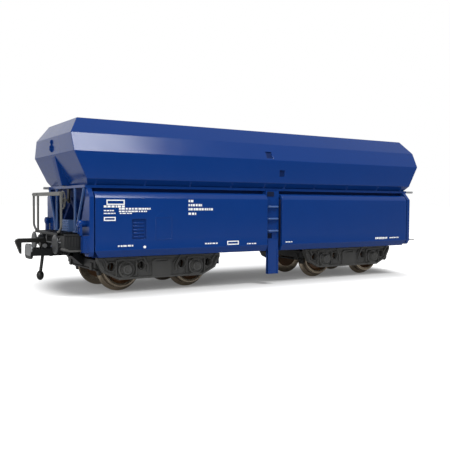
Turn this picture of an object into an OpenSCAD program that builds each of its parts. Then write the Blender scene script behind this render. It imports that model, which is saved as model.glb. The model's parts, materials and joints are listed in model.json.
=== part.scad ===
// Scale model of a four-axle self-discharging hopper wagon, in millimetres.
// X runs along the wagon, -Y is the near side, and Z = 0 is where the wheel flanges stand.
// Left is -X: the end with the platform, the railing and the handwheel.

/* [Wheels and axles] */
// Diameter of the running tread
tread_d = 10.5; // [9:0.1:12.5]
// Depth of the flange below the tread
flange_depth = 1.0; // [0.6:0.1:1.3]
// Thickness of the flange
flange_w = 0.8; // [0.6:0.1:1]
// Width of the whole wheel
wheel_w = 2.8; // [2.4:0.1:3]
// Distance between the backs of the two wheels of an axle
back_to_back = 14.2; // [13.8:0.1:14.6]
// Diameter of the axle between the wheels
axle_d = 2.0; // [1.6:0.1:2.4]
// Diameter of the journals that turn in the side frames
journal_d = 1.5; // [1.2:0.1:1.6]
// Clearance all round a journal or a pin
running_gap = 0.05; // [0.02:0.01:0.1]

/* [Bogies] */
// Distance between the two axles of a bogie
wheelbase = 20.7; // [19:0.1:25]
// Distance from the headstock's face back to the bogie pivot
bogie_inset = 25.75; // [24:0.25:31]
// How far a side frame runs on past its axles
frame_past_axle = 7.85; // [7.6:0.05:9]
// Inner face of a side frame, from the centre line
frame_in_y = 11.4; // [11.2:0.1:13]
// Thickness of a side frame
frame_t = 1.8; // [1.4:0.1:2.2]
// Height of a side frame's top edge above the axle
frame_top_h = 3.2; // [2.8:0.1:3.4]
// Depth of a side frame's bottom edge below the axle
frame_drop = 2.7; // [2.2:0.1:3]
// Radius of the round holes in a side frame
frame_hole_r = 1.1; // [0.6:0.1:1.2]
// How far an axle box stands out of the side frame
axle_box_out = 1.2; // [0.6:0.1:1.6]
// Radius of an axle box
axle_box_r = 2.1; // [1.7:0.1:2.3]
// Width of the bolster, along the wagon
bolster_w = 6.0; // [4.5:0.25:6.5]
// Diameter of the king pin
king_pin_d = 3.0; // [2.4:0.1:3.6]

/* [Underframe] */
// Height of the underframe's underside above the axles
sill_over_axle = 5.65; // [5.6:0.05:7]
// Half width of the centre sill
sill_hw = 3.2; // [2.4:0.1:3.6]
// Height of the centre sill
sill_h = 2.3; // [1.8:0.1:3]
// Half width of the headstocks
headstock_hw = 13.3; // [12.8:0.1:15]
// Thickness of the headstocks
headstock_t = 1.2; // [0.8:0.1:1.6]
// Distance from the waist to the outer edge of an end deck
platform_l = 5.2; // [4.4:0.1:7]
// How far a deck's edge stands out over the headstock
deck_overhang = 2.0; // [1:0.1:2.4]
// Half width of an end deck
deck_hw = 10.8; // [9.5:0.1:12]
// Thickness of an end deck
deck_t = 0.6; // [0.4:0.1:0.8]
// Height of the deck's top above the underframe's underside
deck_h = 4.0; // [3.6:0.1:4.6]

/* [Buffers and couplings] */
// Length of a buffer in front of the headstock
buffer_l = 2.7; // [2.2:0.1:5]
// Distance from the centre line to a buffer
buffer_y = 10.05; // [9.9:0.05:10.3]
// Diameter of a buffer's plate
buffer_d = 4.9; // [4.4:0.1:5.4]
// Height of the buffers above the underframe's underside
buffer_h = 1.2; // [0.8:0.1:1.6]
// Distance from the buffer faces out to the front of the coupling's bow
bow_reach = 4.0; // [3.6:0.1:5]
// Half width of the bow
bow_hw = 3.3; // [3:0.1:3.6]
// Height of the bow's front plate
bow_h = 3.2; // [2.6:0.1:3.4]
// Distance from the bow's front out to the hook's nose
hook_reach = 3.3; // [2.8:0.1:4]
// Thickness of the hook lever
hook_t = 1.4; // [1:0.1:1.6]
// Length of the dropper that hangs under the hook lever
dropper_l = 9.2; // [7.5:0.1:9.4]

/* [Hopper] */
// Length over the ridges of the hopper
body_l = 119.4; // [105:0.5:145]
// Width over the lower ridges of the hopper
body_w = 36.2; // [33:0.1:44]
// Wall thickness of the hopper
wall = 0.9; // [0.7:0.05:1.2]
// Height of the rim above the underframe's underside
rim_h = 33.1; // [31:0.1:40]
// Height of the upper ridge
ridge_top_h = 29.0; // [27:0.1:30]
// Height of the lower ridge
ridge_low_h = 24.3; // [21:0.1:26]
// Height of the hopper's lowest fold
foot_h = 17.7; // [17.2:0.1:18.6]
// How far the rim lies inside the ridges, along the wagon
rim_inset_x = 2.7; // [1.5:0.1:6]
// How far the rim lies inside the lower ridge, across the wagon
rim_inset_y = 5.85; // [3:0.05:7]
// How far the upper ridge lies inside the lower ridge, across the wagon
ridge_inset_y = 2.3; // [1:0.1:3]
// How far the lowest fold lies inside the ridges, along the wagon
foot_inset_x = 3.4; // [2.6:0.1:3.8]
// How far the lowest fold lies inside the lower ridge, across the wagon
foot_inset_y = 0.5; // [0.3:0.1:0.9]
// How far the sides run in below the lowest fold, down to the neck
neck_setback = 1.8; // [1.5:0.1:2.1]
// Wall thickness of the neck
neck_t = 0.8; // [0.6:0.1:1]
// Thickness of the stiffener on each end wall
fin_t = 3.0; // [1:0.1:4]
// How far the stiffener stands out at its foot
fin_out = 1.3; // [0.8:0.1:1.6]

/* [Waist and lower body] */
// Distance from the hopper's ridges in to the waist rail's edge, along the wagon
waist_inset_x = 3.4; // [3:0.1:5]
// Distance from the lower ridge in to the waist rail's edge, across the wagon
waist_inset_y = 1.8; // [1.7:0.1:1.9]
// Height of the waist rail's top
waist_h = 16.2; // [16:0.1:16.6]
// Thickness of the waist rail
waist_t = 0.8; // [0.6:0.1:1]
// Thickness of the end cheeks
cheek_t = 1.2; // [1:0.1:1.6]
// Half width of the pillar between two flaps
pillar_hw = 2.3; // [2:0.1:3]
// How far a discharge lever's edges lie inside the pillar's
lever_inset = 0.45; // [0.2:0.05:0.6]
// Thickness of the pillar
pillar_t = 1.7; // [1.4:0.1:1.8]
// Depth of the pillar's face behind the flaps' faces
pillar_in = 1.4; // [1.2:0.1:1.6]
// Height of the saddle's ridge
saddle_h = 13.1; // [11:0.1:13.4]
// Thickness of the saddle's plates, measured upright
saddle_t = 1.35; // [1:0.05:1.6]
// Distance from the cheeks in to the foot of the end slopes
slope_run = 9.0; // [7:0.5:12]

/* [Flaps] */
// How far the flap's face stands out past the lower ridge
flap_proud = 0.2; // [0:0.1:0.4]
// Thickness of a flap
flap_t = 0.8; // [0.6:0.1:1]
// Gap at each end of a flap
flap_gap = 0.3; // [0.2:0.05:0.5]
// Depth of the hinge line behind the flap's face
hinge_in = 2.1; // [2:0.1:2.2]
// Depth of the hinge line below the waist rail
hinge_drop = 1.4; // [1.3:0.05:1.6]
// Radius of the hinge knuckle
knuckle_r = 0.75; // [0.65:0.05:0.8]
// Diameter of the hinge pins
hinge_pin_d = 0.9; // [0.7:0.05:1]
// Length of a hinge pin past the flap's end
hinge_pin_l = 1.1; // [0.8:0.1:1.2]

/* [End fittings] */
// Height of the railing above the deck
rail_h = 10.4; // [8:0.1:10.8]
// Half width of the railing
rail_hw = 12.9; // [12:0.1:13.6]
// Diameter of the railing's posts
post_d = 0.6; // [0.45:0.05:0.8]
// Diameter of the handwheel
handwheel_d = 5.0; // [4:0.1:6]
// Height of the cabinet on the deck
cabinet_h = 3.1; // [2:0.1:3.6]
// Half width of the cabinet
cabinet_hw = 3.3; // [2.5:0.1:4]
// Thickness of the end struts
strut_t = 0.5; // [0.4:0.05:0.9]

/* [Hidden] */
$fn = 64;
touch = 0.01;

// Heights of the running gear and of the underframe's underside
tread_r = tread_d / 2;
flange_r = tread_r + flange_depth;
axle_z = flange_r;
base = axle_z + sill_over_axle;

// Places along the wagon
ridge_x = body_l / 2;
waist_x = ridge_x - waist_inset_x;
deck_x = waist_x + platform_l;
headstock_x = deck_x - deck_overhang;
buffer_x = headstock_x + buffer_l;
pivot_x = headstock_x - bogie_inset;
frame_hl = wheelbase / 2 + frame_past_axle;
cheek_out_x = waist_x - 0.4;
cheek_in_x = cheek_out_x - cheek_t;
side_block_x = cheek_out_x + 1.5;
flap_out_x = cheek_in_x - flap_gap;
flap_in_x = pillar_hw + flap_gap;

// Places across the wagon
ridge_y = body_w / 2;
waist_y = ridge_y - waist_inset_y;
flap_y = ridge_y + flap_proud;
hinge_y = flap_y - hinge_in;
cheek_top_y = hinge_y - 1.2;
waist_top = base + waist_h;
waist_under = waist_top - waist_t;
hinge_z = waist_under - hinge_drop;
pillar_face_y = flap_y - pillar_in;
pillar_back_y = pillar_face_y - pillar_t;

// The hopper's levels, each as [half length, half width, height, wall]
rim = [ridge_x - rim_inset_x, ridge_y - rim_inset_y, base + rim_h, wall];
ridge_top = [ridge_x, ridge_y - ridge_inset_y, base + ridge_top_h, wall];
ridge_low = [ridge_x - 0.1, ridge_y, base + ridge_low_h, wall];
foot = [ridge_x - foot_inset_x, ridge_y - foot_inset_y, base + foot_h, wall];
// the end walls keep their slope below the lowest fold, while the sides run in
end_slope_run = (ridge_low[0] - foot[0]) / (ridge_low[2] - foot[2]);
neck_top = [foot[0] - end_slope_run * (foot[2] - waist_top), foot[1] - neck_setback, waist_top, neck_t];
neck_low = [neck_top[0], neck_top[1], waist_under, neck_t];

// The saddle's upper face falls from its ridge to its edge, which lies just inside the flaps
saddle_edge_y = flap_y - flap_t - 1.1;
saddle_edge_z = base - 0.7;
saddle_ridge_z = base + saddle_h;
saddle_fall = (saddle_ridge_z - saddle_edge_z) / saddle_edge_y;
function saddle_top(y) = saddle_ridge_z - saddle_fall * abs(y);
function saddle_under(y) = saddle_top(y) - saddle_t;

module both_sides() {
    children();
    mirror([0, 1, 0]) children();
}

module both_ends() {
    children();
    mirror([1, 0, 0]) children();
}

// A block between two opposite corners
module box(lo, hi) {
    translate(lo) cube(hi - lo);
}

// A flat outline in the X-Z plane, as thick as y0 to y1
module slab_xz(points, y0, y1) {
    translate([0, y1, 0]) rotate([90, 0, 0]) linear_extrude(y1 - y0) polygon(points);
}

// A flat outline in the Y-Z plane, as thick as x0 to x1
module slab_yz(points, x0, x1) {
    translate([x0, 0, 0]) rotate([90, 0, 90]) linear_extrude(x1 - x0) polygon(points);
}

module rod(from, to, r) {
    d = to - from;
    len = norm(d);
    translate(from) rotate([0, acos(d[2] / len), atan2(d[1], d[0])]) cylinder(h = len, r = r);
}

// One corner of a level, moved in by a wall's thickness; sx and sy choose which corner
function corner(level, in, sx, sy) =
    [sx * (level[0] - in), sy * (level[1] - in), level[2]];

// One flat panel of a wall between two levels and two corners, with mitred ends
module wall_panel(lo, hi, a, b) {
    polyhedron(
        points = [
            corner(lo, 0, a[0], a[1]), corner(lo, 0, b[0], b[1]),
            corner(hi, 0, b[0], b[1]), corner(hi, 0, a[0], a[1]),
            corner(lo, lo[3], a[0], a[1]), corner(lo, lo[3], b[0], b[1]),
            corner(hi, hi[3], b[0], b[1]), corner(hi, hi[3], a[0], a[1]),
        ],
        faces = [
            [3, 2, 1, 0], [4, 5, 6, 7], [0, 1, 5, 4], [1, 2, 6, 5], [2, 3, 7, 6], [3, 0, 4, 7],
        ]
    );
}

module hopper_wall(a, b) {
    wall_panel(neck_low, neck_top, a, b);
    wall_panel(neck_top, foot, a, b);
    wall_panel(foot, ridge_low, a, b);
    wall_panel(ridge_low, ridge_top, a, b);
    wall_panel(ridge_top, rim, a, b);
}

module hopper_side_near() color("#1d3f8f") {
    difference() {
        hopper_wall([-1, -1], [1, -1]);
        // two shallow footholds over the pillar
        foothold(-2.65, -0.5, base + 24.8, 1.9, ridge_low, ridge_top);
        foothold(1.95, 3.85, base + 19.6, 1.9, foot, ridge_low);
    }
}

module hopper_side_far() mirror([0, 1, 0]) mirror([1, 0, 0]) hopper_side_near();

// A pocket sunk into the near wall, between the heights z and z + h
module foothold(x0, x1, z, h, lo, hi) {
    run = (hi[1] - lo[1]) / (hi[2] - lo[2]);
    y0 = lo[1] + run * (z - lo[2]);
    y1 = y0 + run * h;
    depth = 0.45;
    slab_yz([[-y0 + depth, z], [-y1 + depth, z + h], [-y1 - 1, z + h], [-y0 - 1, z]], x0, x1);
}

module hopper_end(s) color("#1d3f8f") mirror([s > 0 ? 1 : 0, 0, 0]) {
    hopper_wall([-1, 1], [-1, -1]);
    // upright stiffener, from the lower ridge down to the waist rail
    slab_xz([
        [-ridge_low[0] + 0.1, ridge_low[2] - 0.4],
        [-foot[0] - fin_out, waist_top],
        [-neck_top[0] + touch, waist_top],
        [-foot[0] + touch, foot[2]],
        [-ridge_low[0] + 0.1 + touch, ridge_low[2] - 0.4],
    ], -fin_t / 2, fin_t / 2);
}

module waist_side_rails() color("#24489a") both_sides()
    box([-waist_x, -waist_y, waist_under], [waist_x, -neck_low[1], waist_top]);

module waist_end_rails() color("#24489a") both_ends()
    box([-waist_x, -neck_low[1], waist_under], [-neck_low[0], neck_low[1], waist_top]);

// Roof-shaped floor that sheds the load to both sides
module saddle_plates() slab_yz([
    [-saddle_edge_y, saddle_edge_z], [0, saddle_ridge_z], [saddle_edge_y, saddle_edge_z],
    [saddle_edge_y, saddle_edge_z - saddle_t], [0, saddle_ridge_z - saddle_t],
    [-saddle_edge_y, saddle_edge_z - saddle_t],
], -cheek_in_x, cheek_in_x);

module saddle() color("#1a3878") saddle_plates();

// Sloping end walls of the lower hopper, standing on the saddle
module end_slopes() color("#1a3878") both_ends() {
    t = 1.2;
    top_x = cheek_in_x - 0.5;
    foot_x = cheek_in_x - slope_run;
    foot_z = base + 1.0;
    difference() {
        slab_xz([
            [-top_x, waist_under], [-top_x - t, waist_under],
            [-foot_x - t, foot_z], [-foot_x, foot_z],
        ], -saddle_edge_y - 0.8, saddle_edge_y + 0.8);
        slab_yz([
            [-saddle_edge_y, saddle_edge_z], [0, saddle_ridge_z],
            [saddle_edge_y, saddle_edge_z], [0, saddle_edge_z - 20],
        ], -cheek_in_x - 2, 0);
        end_slope_relief();
    }
}

// Room beside an end slope for the flaps' knuckles and for the cheeks
module end_slope_relief() both_sides() {
    box([-waist_x, -flap_y - 1, hinge_z - 3], [0, -hinge_y + knuckle_r + flap_gap, waist_under + 1]);
    box([-waist_x, -flap_y - 1, base], [-cheek_in_x, -cheek_top_y, waist_under + 1]);
}

// Plates that close the flaps' ends and carry the saddle, the slopes and the hinge pins
module end_cheek(s) {
    bottom = base - 1.6;
    difference() {
        slab_yz([
            [-cheek_top_y, waist_under], [-waist_y, waist_under],
            [-flap_y, hinge_z - 0.8], [-flap_y, base - 0.3], [-flap_y + 0.8, bottom],
            [-saddle_edge_y + 1.2, bottom], [-deck_hw, base + 1.7], [-deck_hw, base + deck_h],
            [-deck_hw + 1.4, base + deck_h], [-flap_y + 5.7, base + 7.7], [-hinge_y + 1.1, hinge_z - 1.2],
        ], -cheek_out_x, -cheek_in_x);
        translate([-cheek_in_x + touch, -hinge_y, hinge_z]) rotate([0, -90, 0])
            cylinder(h = cheek_t - 0.1, d = hinge_pin_d + 2 * running_gap);
    }
    // on the platform end, a block that carries the side of the platform
    if (s < 0) box([-side_block_x, -flap_y, base - 0.6], [-cheek_out_x, -flap_y + 2.2, base + 3.6]);
}

module end_cheeks() color("#1d3f8f") both_sides() {
    end_cheek(-1);
    mirror([1, 0, 0]) end_cheek(1);
}

// Upright between the two flaps of a side, with blind holes for the hinge pins
module pillars() color("#1d3f8f") both_sides() difference() {
    box([-pillar_hw, -pillar_face_y, base - lever_head], [pillar_hw, -pillar_back_y, waist_under]);
    both_ends() translate([-pillar_hw - touch, -hinge_y, hinge_z]) rotate([0, 90, 0])
        cylinder(h = hinge_pin_l - flap_gap + 0.1, d = hinge_pin_d + 2 * running_gap);
    // hole for the lever's rod
    box([-1.75, -pillar_face_y - 1, base + 1.6], [0, -pillar_back_y + 1, base + 3.1]);
    saddle_plates();
}

// Three steps on each pillar
module ladder_rungs() color("#2a52a8") both_sides() {
    hl = 1.9;
    bar_t = 0.5;
    leg = 0.4;
    y = -pillar_face_y - leg;
    for (h = [3.5, 7.0, 10.5]) {
        z0 = base + h;
        z1 = z0 + 0.6;
        box([-hl, y - bar_t, z0], [hl, y, z1]);
        for (x = [-hl, hl - leg]) box([x, y, z0], [x + leg, y + leg, z1]);
    }
}

// Blade under each pillar that an unloading ramp pushes against
module discharge_levers() color("#24489a") both_sides() {
    hw = pillar_hw - lever_inset;
    front_y = -pillar_face_y - 0.7;
    head_z = base - lever_head;
    box([-hw, front_y, base - 8.8], [hw, -saddle_edge_y, head_z]);
    box([-hw, front_y, head_z], [hw, -pillar_face_y, base + 1.4]);
}
lever_head = 1.5;

module centre_sill() color("#202225")
    box([-headstock_x + headstock_t, -sill_hw, base], [headstock_x - headstock_t, sill_hw, base + sill_h]);

// Webs that carry the saddle: one over each bogie and one between the pillars
module body_bolsters() color("#202225") {
    side_y = 11.0;
    both_ends() difference() {
        slab_yz([
            [-sill_hw, base], [sill_hw, base], [side_y, saddle_under(side_y)],
            [0, saddle_under(0)], [-side_y, saddle_under(side_y)],
        ], pivot_x - 2.5, pivot_x + 2.5);
        box([pivot_x - 3, -sill_hw, base - 1], [pivot_x + 3, sill_hw, base + sill_h]);
    }
    back = pillar_back_y;
    low_z = saddle_under(saddle_edge_y) - 0.3;
    difference() {
        slab_yz([
            [-back, low_z], [back, low_z],
            [back, saddle_under(back)], [0, saddle_under(0)], [-back, saddle_under(back)],
        ], -pillar_hw, pillar_hw);
        box([-pillar_hw - 1, -sill_hw, base - 3], [pillar_hw + 1, sill_hw, base + sill_h]);
    }
}

// Buffer beams, notched so that the couplings can swing under them
module headstocks() color("#17181a") both_ends() {
    low_z = base - 1.6;
    notch_hw = 2 * bow_hw;
    difference() {
        box([-headstock_x, -headstock_hw, low_z],
            [-headstock_x + headstock_t, headstock_hw, base + deck_h - deck_t]);
        box([-headstock_x - 1, -notch_hw, low_z - 1],
            [-headstock_x + headstock_t + 1, notch_hw, base + 0.1]);
    }
}

module end_decks() color("#3c3f42") both_ends()
    box([-deck_x, -deck_hw, base + deck_h - deck_t], [-cheek_in_x, deck_hw, base + deck_h]);

module end_struts() color("#3a5da8") both_ends() both_sides() {
    x = -cheek_out_x;
    h = strut_t / 2;
    z0 = base + deck_h;
    // the upright, and the diagonal's foot and head
    post_y = deck_hw - 2.8;
    foot_y = post_y + strut_t + 0.2;
    head_y = waist_y - 1.2;
    box([x - strut_t, -post_y - h, z0], [x, -post_y + h, waist_under]);
    slab_yz([
        [-foot_y - h, z0], [-foot_y + h, z0], [-head_y + h, waist_under], [-head_y - h, waist_under],
    ], x - strut_t, x);
}

// Guard rail at the platform's edge: three posts and a flat top rail
module railing() color("#8a8d90") {
    x = -deck_x + 0.25;
    z0 = base + deck_h;
    z1 = z0 + rail_h;
    bar = 1.0;
    r = post_d / 2;
    knee = 1.3;
    box([x - 0.35, -rail_hw - r, z1 - bar], [x + 0.35, rail_hw + r, z1]);
    rod([x, 8.5, z0], [x, 8.5, z1 - bar / 2], r);
    both_sides() {
        rod([x, -rail_hw, z0 + knee], [x, -rail_hw, z1 - bar / 2], r);
        translate([x, -rail_hw, z0 + knee]) sphere(r = r + 0.02);
        rod([x, -rail_hw, z0 + knee], [x, -deck_hw - r, z0 + r], r);
        translate([x, -deck_hw - r, z0 + r]) sphere(r = r + 0.02);
        rod([x, -deck_hw - r, z0 + r], [x, -deck_hw + 0.6, z0 + r], r);
    }
}

module handwheel() color("#8a8d90") {
    y = -1.3;
    z = waist_under - 3.0;
    x = -waist_x - 1.0;
    rim_r = 0.3;
    ring_r = handwheel_d / 2 - rim_r;
    translate([x, y, z]) rotate([0, 90, 0]) {
        rotate_extrude() translate([ring_r, 0]) circle(r = rim_r, $fn = 32);
        translate([0, 0, -0.4]) cylinder(h = 0.8, r = 0.6);
        for (a = [45:90:315]) rotate([0, 0, a]) rotate([0, 90, 0]) cylinder(h = ring_r, r = 0.18, $fn = 24);
        cylinder(h = 1.4, r = 0.35);
    }
    // hanger plate under the waist rail
    box([x + 1.4, y - 0.8, z - 0.8], [x + 1.8, y + 0.8, waist_under]);
}

module end_cabinet() color("#4a69a8")
    box([-waist_x - 0.4, -cabinet_hw, base + deck_h], [-cheek_in_x, cabinet_hw, base + deck_h + cabinet_h]);

// Box at the near side of the platform, between the headstock and the body
module step_box() color("#2b2d30")
    box([-deck_x - 0.1, -headstock_hw - 3.4, base - 0.4], [-side_block_x, -headstock_hw, base + deck_h]);

// Long shaft ends at two opposite corners and short ones at the other two
module latch_shafts() color("#2a52a8") {
    long_l = 2.3;
    short_l = 1.3;
    for (turn = [0, 180]) rotate([0, 0, turn]) {
        latch_shaft(long_l);
        mirror([0, 1, 0]) latch_shaft(short_l);
    }
}

module latch_shaft(len)
    translate([-cheek_out_x, -flap_y + 2.1, base + 6.5]) rotate([0, -90, 0]) cylinder(h = len, r = 1.0);

// Shaft ends that stand out at the waist, one at each end, and thin rods low on two corners
module ledge_pegs() color("#8a8d90") {
    peg_r = 0.35;
    right_peg_l = 3.3;
    left_peg_l = 1.5;
    z = waist_top - waist_t / 2;
    translate([waist_x, -waist_y + 0.4, z]) rotate([0, 90, 0]) cylinder(h = right_peg_l, r = peg_r);
    translate([-waist_x, waist_y - 0.8, z]) rotate([0, -90, 0]) cylinder(h = left_peg_l, r = peg_r);
    rod_r = 0.2;
    rod_x = cheek_out_x + 3.7;
    rod_y = flap_y - 1.3;
    rod_z = base - 0.2;
    rod([cheek_out_x, -rod_y, rod_z], [rod_x, -rod_y, rod_z], rod_r);
    rod([-side_block_x, rod_y, rod_z], [-rod_x, rod_y, rod_z], rod_r);
}

module buffers(s) color("#55585a") mirror([s > 0 ? 1 : 0, 0, 0]) both_sides()
    translate([-buffer_x, -buffer_y, base + buffer_h]) rotate([0, 90, 0]) {
        cylinder(h = 0.6, d = buffer_d);
        cylinder(h = buffer_l, r = 1.2);
    }

module king_pins() color("#8a8d90") both_ends() translate([pivot_x, 0, 0]) {
    head_z = bolster_z0 - 0.8;
    translate([0, 0, head_z]) cylinder(h = base - head_z, d = king_pin_d);
    translate([0, 0, head_z]) cylinder(h = 0.5, d = king_pin_d + 1.6);
}

// The flap hangs from its knuckle. Its own frame has the near side's signs.
module flap(sx, sy) color("#1d3f8f")
    mirror([sx > 0 ? 1 : 0, 0, 0]) mirror([0, sy > 0 ? 1 : 0, 0]) {
    f = flap_y;
    t = flap_t;
    top_z = hinge_z - 0.8;
    low_z = base - 0.3;
    slab_yz([
        [-f + 1.4, hinge_z + 0.5], [-f, top_z], [-f, low_z], [-f + 0.8, low_z - 1.7],
        [-f + 0.8 + t, low_z - 1.5], [-f + t, low_z + 0.2], [-f + t, top_z - 0.35],
        [-f + 1.9, hinge_z - 0.3],
    ], -flap_out_x, -flap_in_x);
    translate([-flap_out_x, -hinge_y, hinge_z]) rotate([0, 90, 0])
        cylinder(h = flap_out_x - flap_in_x, r = knuckle_r);
    translate([-flap_out_x - hinge_pin_l + 0.1, -hinge_y, hinge_z]) rotate([0, 90, 0])
        cylinder(h = flap_out_x - flap_in_x + 2 * hinge_pin_l - 0.2, d = hinge_pin_d);
}

// Bogies are drawn about their own pivot, for the left end, and mirrored for the right
bolster_z0 = axle_z + 1.75;
bolster_z1 = base - 0.6;
module at_bogie(s) mirror([s > 0 ? 1 : 0, 0, 0]) translate([-pivot_x, 0, 0]) children();

module bogie_side_frames(s) color("#4b4a48") at_bogie(s) both_sides() {
    ax = wheelbase / 2;
    low = axle_z - frame_drop;
    top = axle_z + frame_top_h;
    out_y = frame_in_y + frame_t;
    e = frame_hl;
    difference() {
        union() {
            slab_xz([
                [-e, top], [-e, top - 0.9], [-e + 0.4, low + 4.1], [-e + 1.6, low + 2.0], [-e + 5.8, low],
                [e - 5.8, low], [e - 1.6, low + 2.0], [e - 0.4, low + 4.1], [e, top - 0.9], [e, top],
            ], -out_y, -frame_in_y);
            for (x = [-ax, ax]) translate([x, -frame_in_y - touch, axle_z]) rotate([90, 0, 0]) {
                cylinder(h = frame_t + axle_box_out - 0.5, r = axle_box_r);
                cylinder(h = frame_t + axle_box_out, r = axle_box_r - 0.8);
            }
        }
        // round holes to each side of each axle box
        for (x = [-ax - 4.1, -ax + 4.3, ax - 4.3, ax + 4.1])
            translate([x, -frame_in_y + 1, axle_z + 0.8]) rotate([90, 0, 0])
                cylinder(h = frame_t + 2, r = frame_hole_r);
        // horn grooves beside the axle boxes and beside the bolster
        for (x = [-ax - 2.65, -ax + 2.65, ax - 2.65, ax + 2.65])
            box([x - 0.2, -out_y - 1, axle_z - 1.6], [x + 0.2, -out_y + 0.5, axle_z + 1.5]);
        for (x = [-3.5, 3.5])
            box([x - 0.25, -out_y - 1, axle_z - 1.3], [x + 0.25, -out_y + 0.6, axle_z + 1.3]);
        // blind bearings for the journals
        for (x = [-ax, ax]) translate([x, -frame_in_y + touch, axle_z]) rotate([90, 0, 0])
            cylinder(h = journal_seat, d = journal_d + 2 * running_gap);
    }
}
journal_seat = 1.4;

module bogie_bolster(s) color("#3a3a3a") at_bogie(s) difference() {
    union() {
        box([-bolster_w / 2, -frame_in_y, bolster_z0], [bolster_w / 2, frame_in_y, bolster_z1]);
        translate([0, 0, bolster_z1]) cylinder(h = 0.3, d = king_pin_d + 2.6);
    }
    translate([0, 0, bolster_z0 - 1])
        cylinder(h = bolster_z1 - bolster_z0 + 2, d = king_pin_d + 2 * running_gap);
}

module bogie_end_beams(s) color("#3a3a3a") at_bogie(s)
    for (x = [-frame_hl, frame_hl - 1.2])
        box([x, -frame_in_y, axle_z + 0.35], [x + 1.2, frame_in_y, axle_z + 2.55]);

// Tongue on the bogie with the coupling's ears and its bow
module coupling(s) color("#26282a") mirror([s > 0 ? 1 : 0, 0, 0]) {
    back = -pivot_x - frame_hl;
    bow_x = -buffer_x - bow_reach;
    loop_x = bow_x + 5.0;
    z0 = base - 2.3;
    tongue_hw = 2.0;
    difference() {
        slab_xz([
            [back, axle_z + 0.35], [back, axle_z + 2.55], [back - 3.0, base - 0.3],
            [loop_x, base - 0.3], [loop_x, z0], [back - 3.6, z0],
        ], -tongue_hw, tongue_hw);
        box([loop_x - 1, -hook_t / 2 - 0.2, z0 - 1], [loop_x + 0.6, hook_t / 2 + 0.2, base + 1]);
    }
    // ears with the hook lever's pin between them
    both_sides() box([loop_x - 1.6, -hook_t / 2 - 0.8, z0], [loop_x + 0.6, -hook_t / 2 - 0.2, base + 1.0]);
    translate([loop_x - 1.0, -hook_t / 2 - 0.3, hook_pin_z]) rotate([-90, 0, 0])
        cylinder(h = hook_t + 0.6, d = hook_pin_d);
    // bow: a cross bar, two arms and the round-ended front plate
    box([loop_x, -bow_hw, z0], [loop_x + 0.6, -hook_t / 2 - 0.2, z0 + 2.0]);
    box([loop_x, hook_t / 2 + 0.2, z0], [loop_x + 0.6, bow_hw, z0 + 2.0]);
    both_sides() box([bow_x + 0.3, -bow_hw, z0 + 0.2], [loop_x + touch, -bow_hw + 0.6, z0 + 2.0]);
    translate([bow_x, 0, z0 + 0.9]) rotate([0, 90, 0]) linear_extrude(0.6) {
        square([bow_h, 2 * bow_hw - bow_h], center = true);
        for (y = [-1, 1]) translate([0, y * (bow_hw - bow_h / 2)]) circle(d = bow_h);
    }
}
hook_pin_d = 0.8;
hook_pin_z = base + 0.4;

// Lever that carries the hook over the bow and hangs a dropper behind it
module hook(s) color("#2c2d2c") mirror([s > 0 ? 1 : 0, 0, 0]) {
    bow_x = -buffer_x - bow_reach;
    pin_x = bow_x + 4.0;
    nose_x = bow_x - hook_reach;
    arm_z = base + 1.25;
    bulb_r = 0.95;
    bulb_h = 2.6;
    difference() {
        union() {
            slab_xz([
                [pin_x + 0.75, hook_pin_z - 0.6], [pin_x + 0.75, arm_z + 0.7], [pin_x + 0.3, arm_z + 1.1],
                [nose_x + 0.7, arm_z + 1.1], [nose_x, arm_z + 0.4], [nose_x + 1.3, arm_z - 2.9],
                [nose_x + 1.6, arm_z - 2.9], [nose_x + 1.6, arm_z], [pin_x - 0.8, arm_z],
                [pin_x - 0.8, hook_pin_z - 0.6],
            ], -hook_t / 2, hook_t / 2);
            rod([pin_x, 0, hook_pin_z - 0.5], [pin_x - 0.8, 0, hook_pin_z - dropper_l + bulb_h / 2], 0.45);
            translate([pin_x - 0.8, 0, hook_pin_z - dropper_l + bulb_h / 2]) rotate_extrude()
                polygon([for (i = [0:12]) [bulb_r * sin(15 * i), -bulb_h / 2 * cos(15 * i)]]);
        }
        translate([pin_x, -2, hook_pin_z]) rotate([-90, 0, 0])
            cylinder(h = 4, d = hook_pin_d + 2 * running_gap);
    }
}

// Axle n counts from the left end
function axle_x(n) = (n <= 2 ? -1 : 1) * pivot_x + (n % 2 == 1 ? -1 : 1) * wheelbase / 2;

module axle(n) color("#9a9c9e") translate([axle_x(n), 0, axle_z]) rotate([90, 0, 0]) {
    shaft_hl = frame_in_y - 0.4;
    journal_hl = frame_in_y + journal_seat - 0.2;
    translate([0, 0, -shaft_hl]) cylinder(h = 2 * shaft_hl, d = axle_d);
    translate([0, 0, -journal_hl]) cylinder(h = 2 * journal_hl, d = journal_d);
}

// Two pressed-on wheels: flange inside, coned tread, dished outer face
module wheels(n) color("#6a4a38") translate([axle_x(n), 0, axle_z]) both_sides()
    translate([0, -back_to_back / 2, 0]) rotate([90, 0, 0]) rotate_extrude($fn = 96) polygon([
        [axle_d / 2, 0], [flange_r - 0.3, 0], [flange_r, 0.3], [flange_r, flange_w - 0.2],
        [tread_r + 0.15, flange_w + 0.15], [tread_r, flange_w + 0.4], [tread_r - 0.1, wheel_w],
        [tread_r - 0.95, wheel_w], [tread_r - 1.2, wheel_w - 0.7], [axle_d, wheel_w - 0.9],
        [axle_d * 0.85, wheel_w], [axle_d / 2, wheel_w],
    ]);

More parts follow.
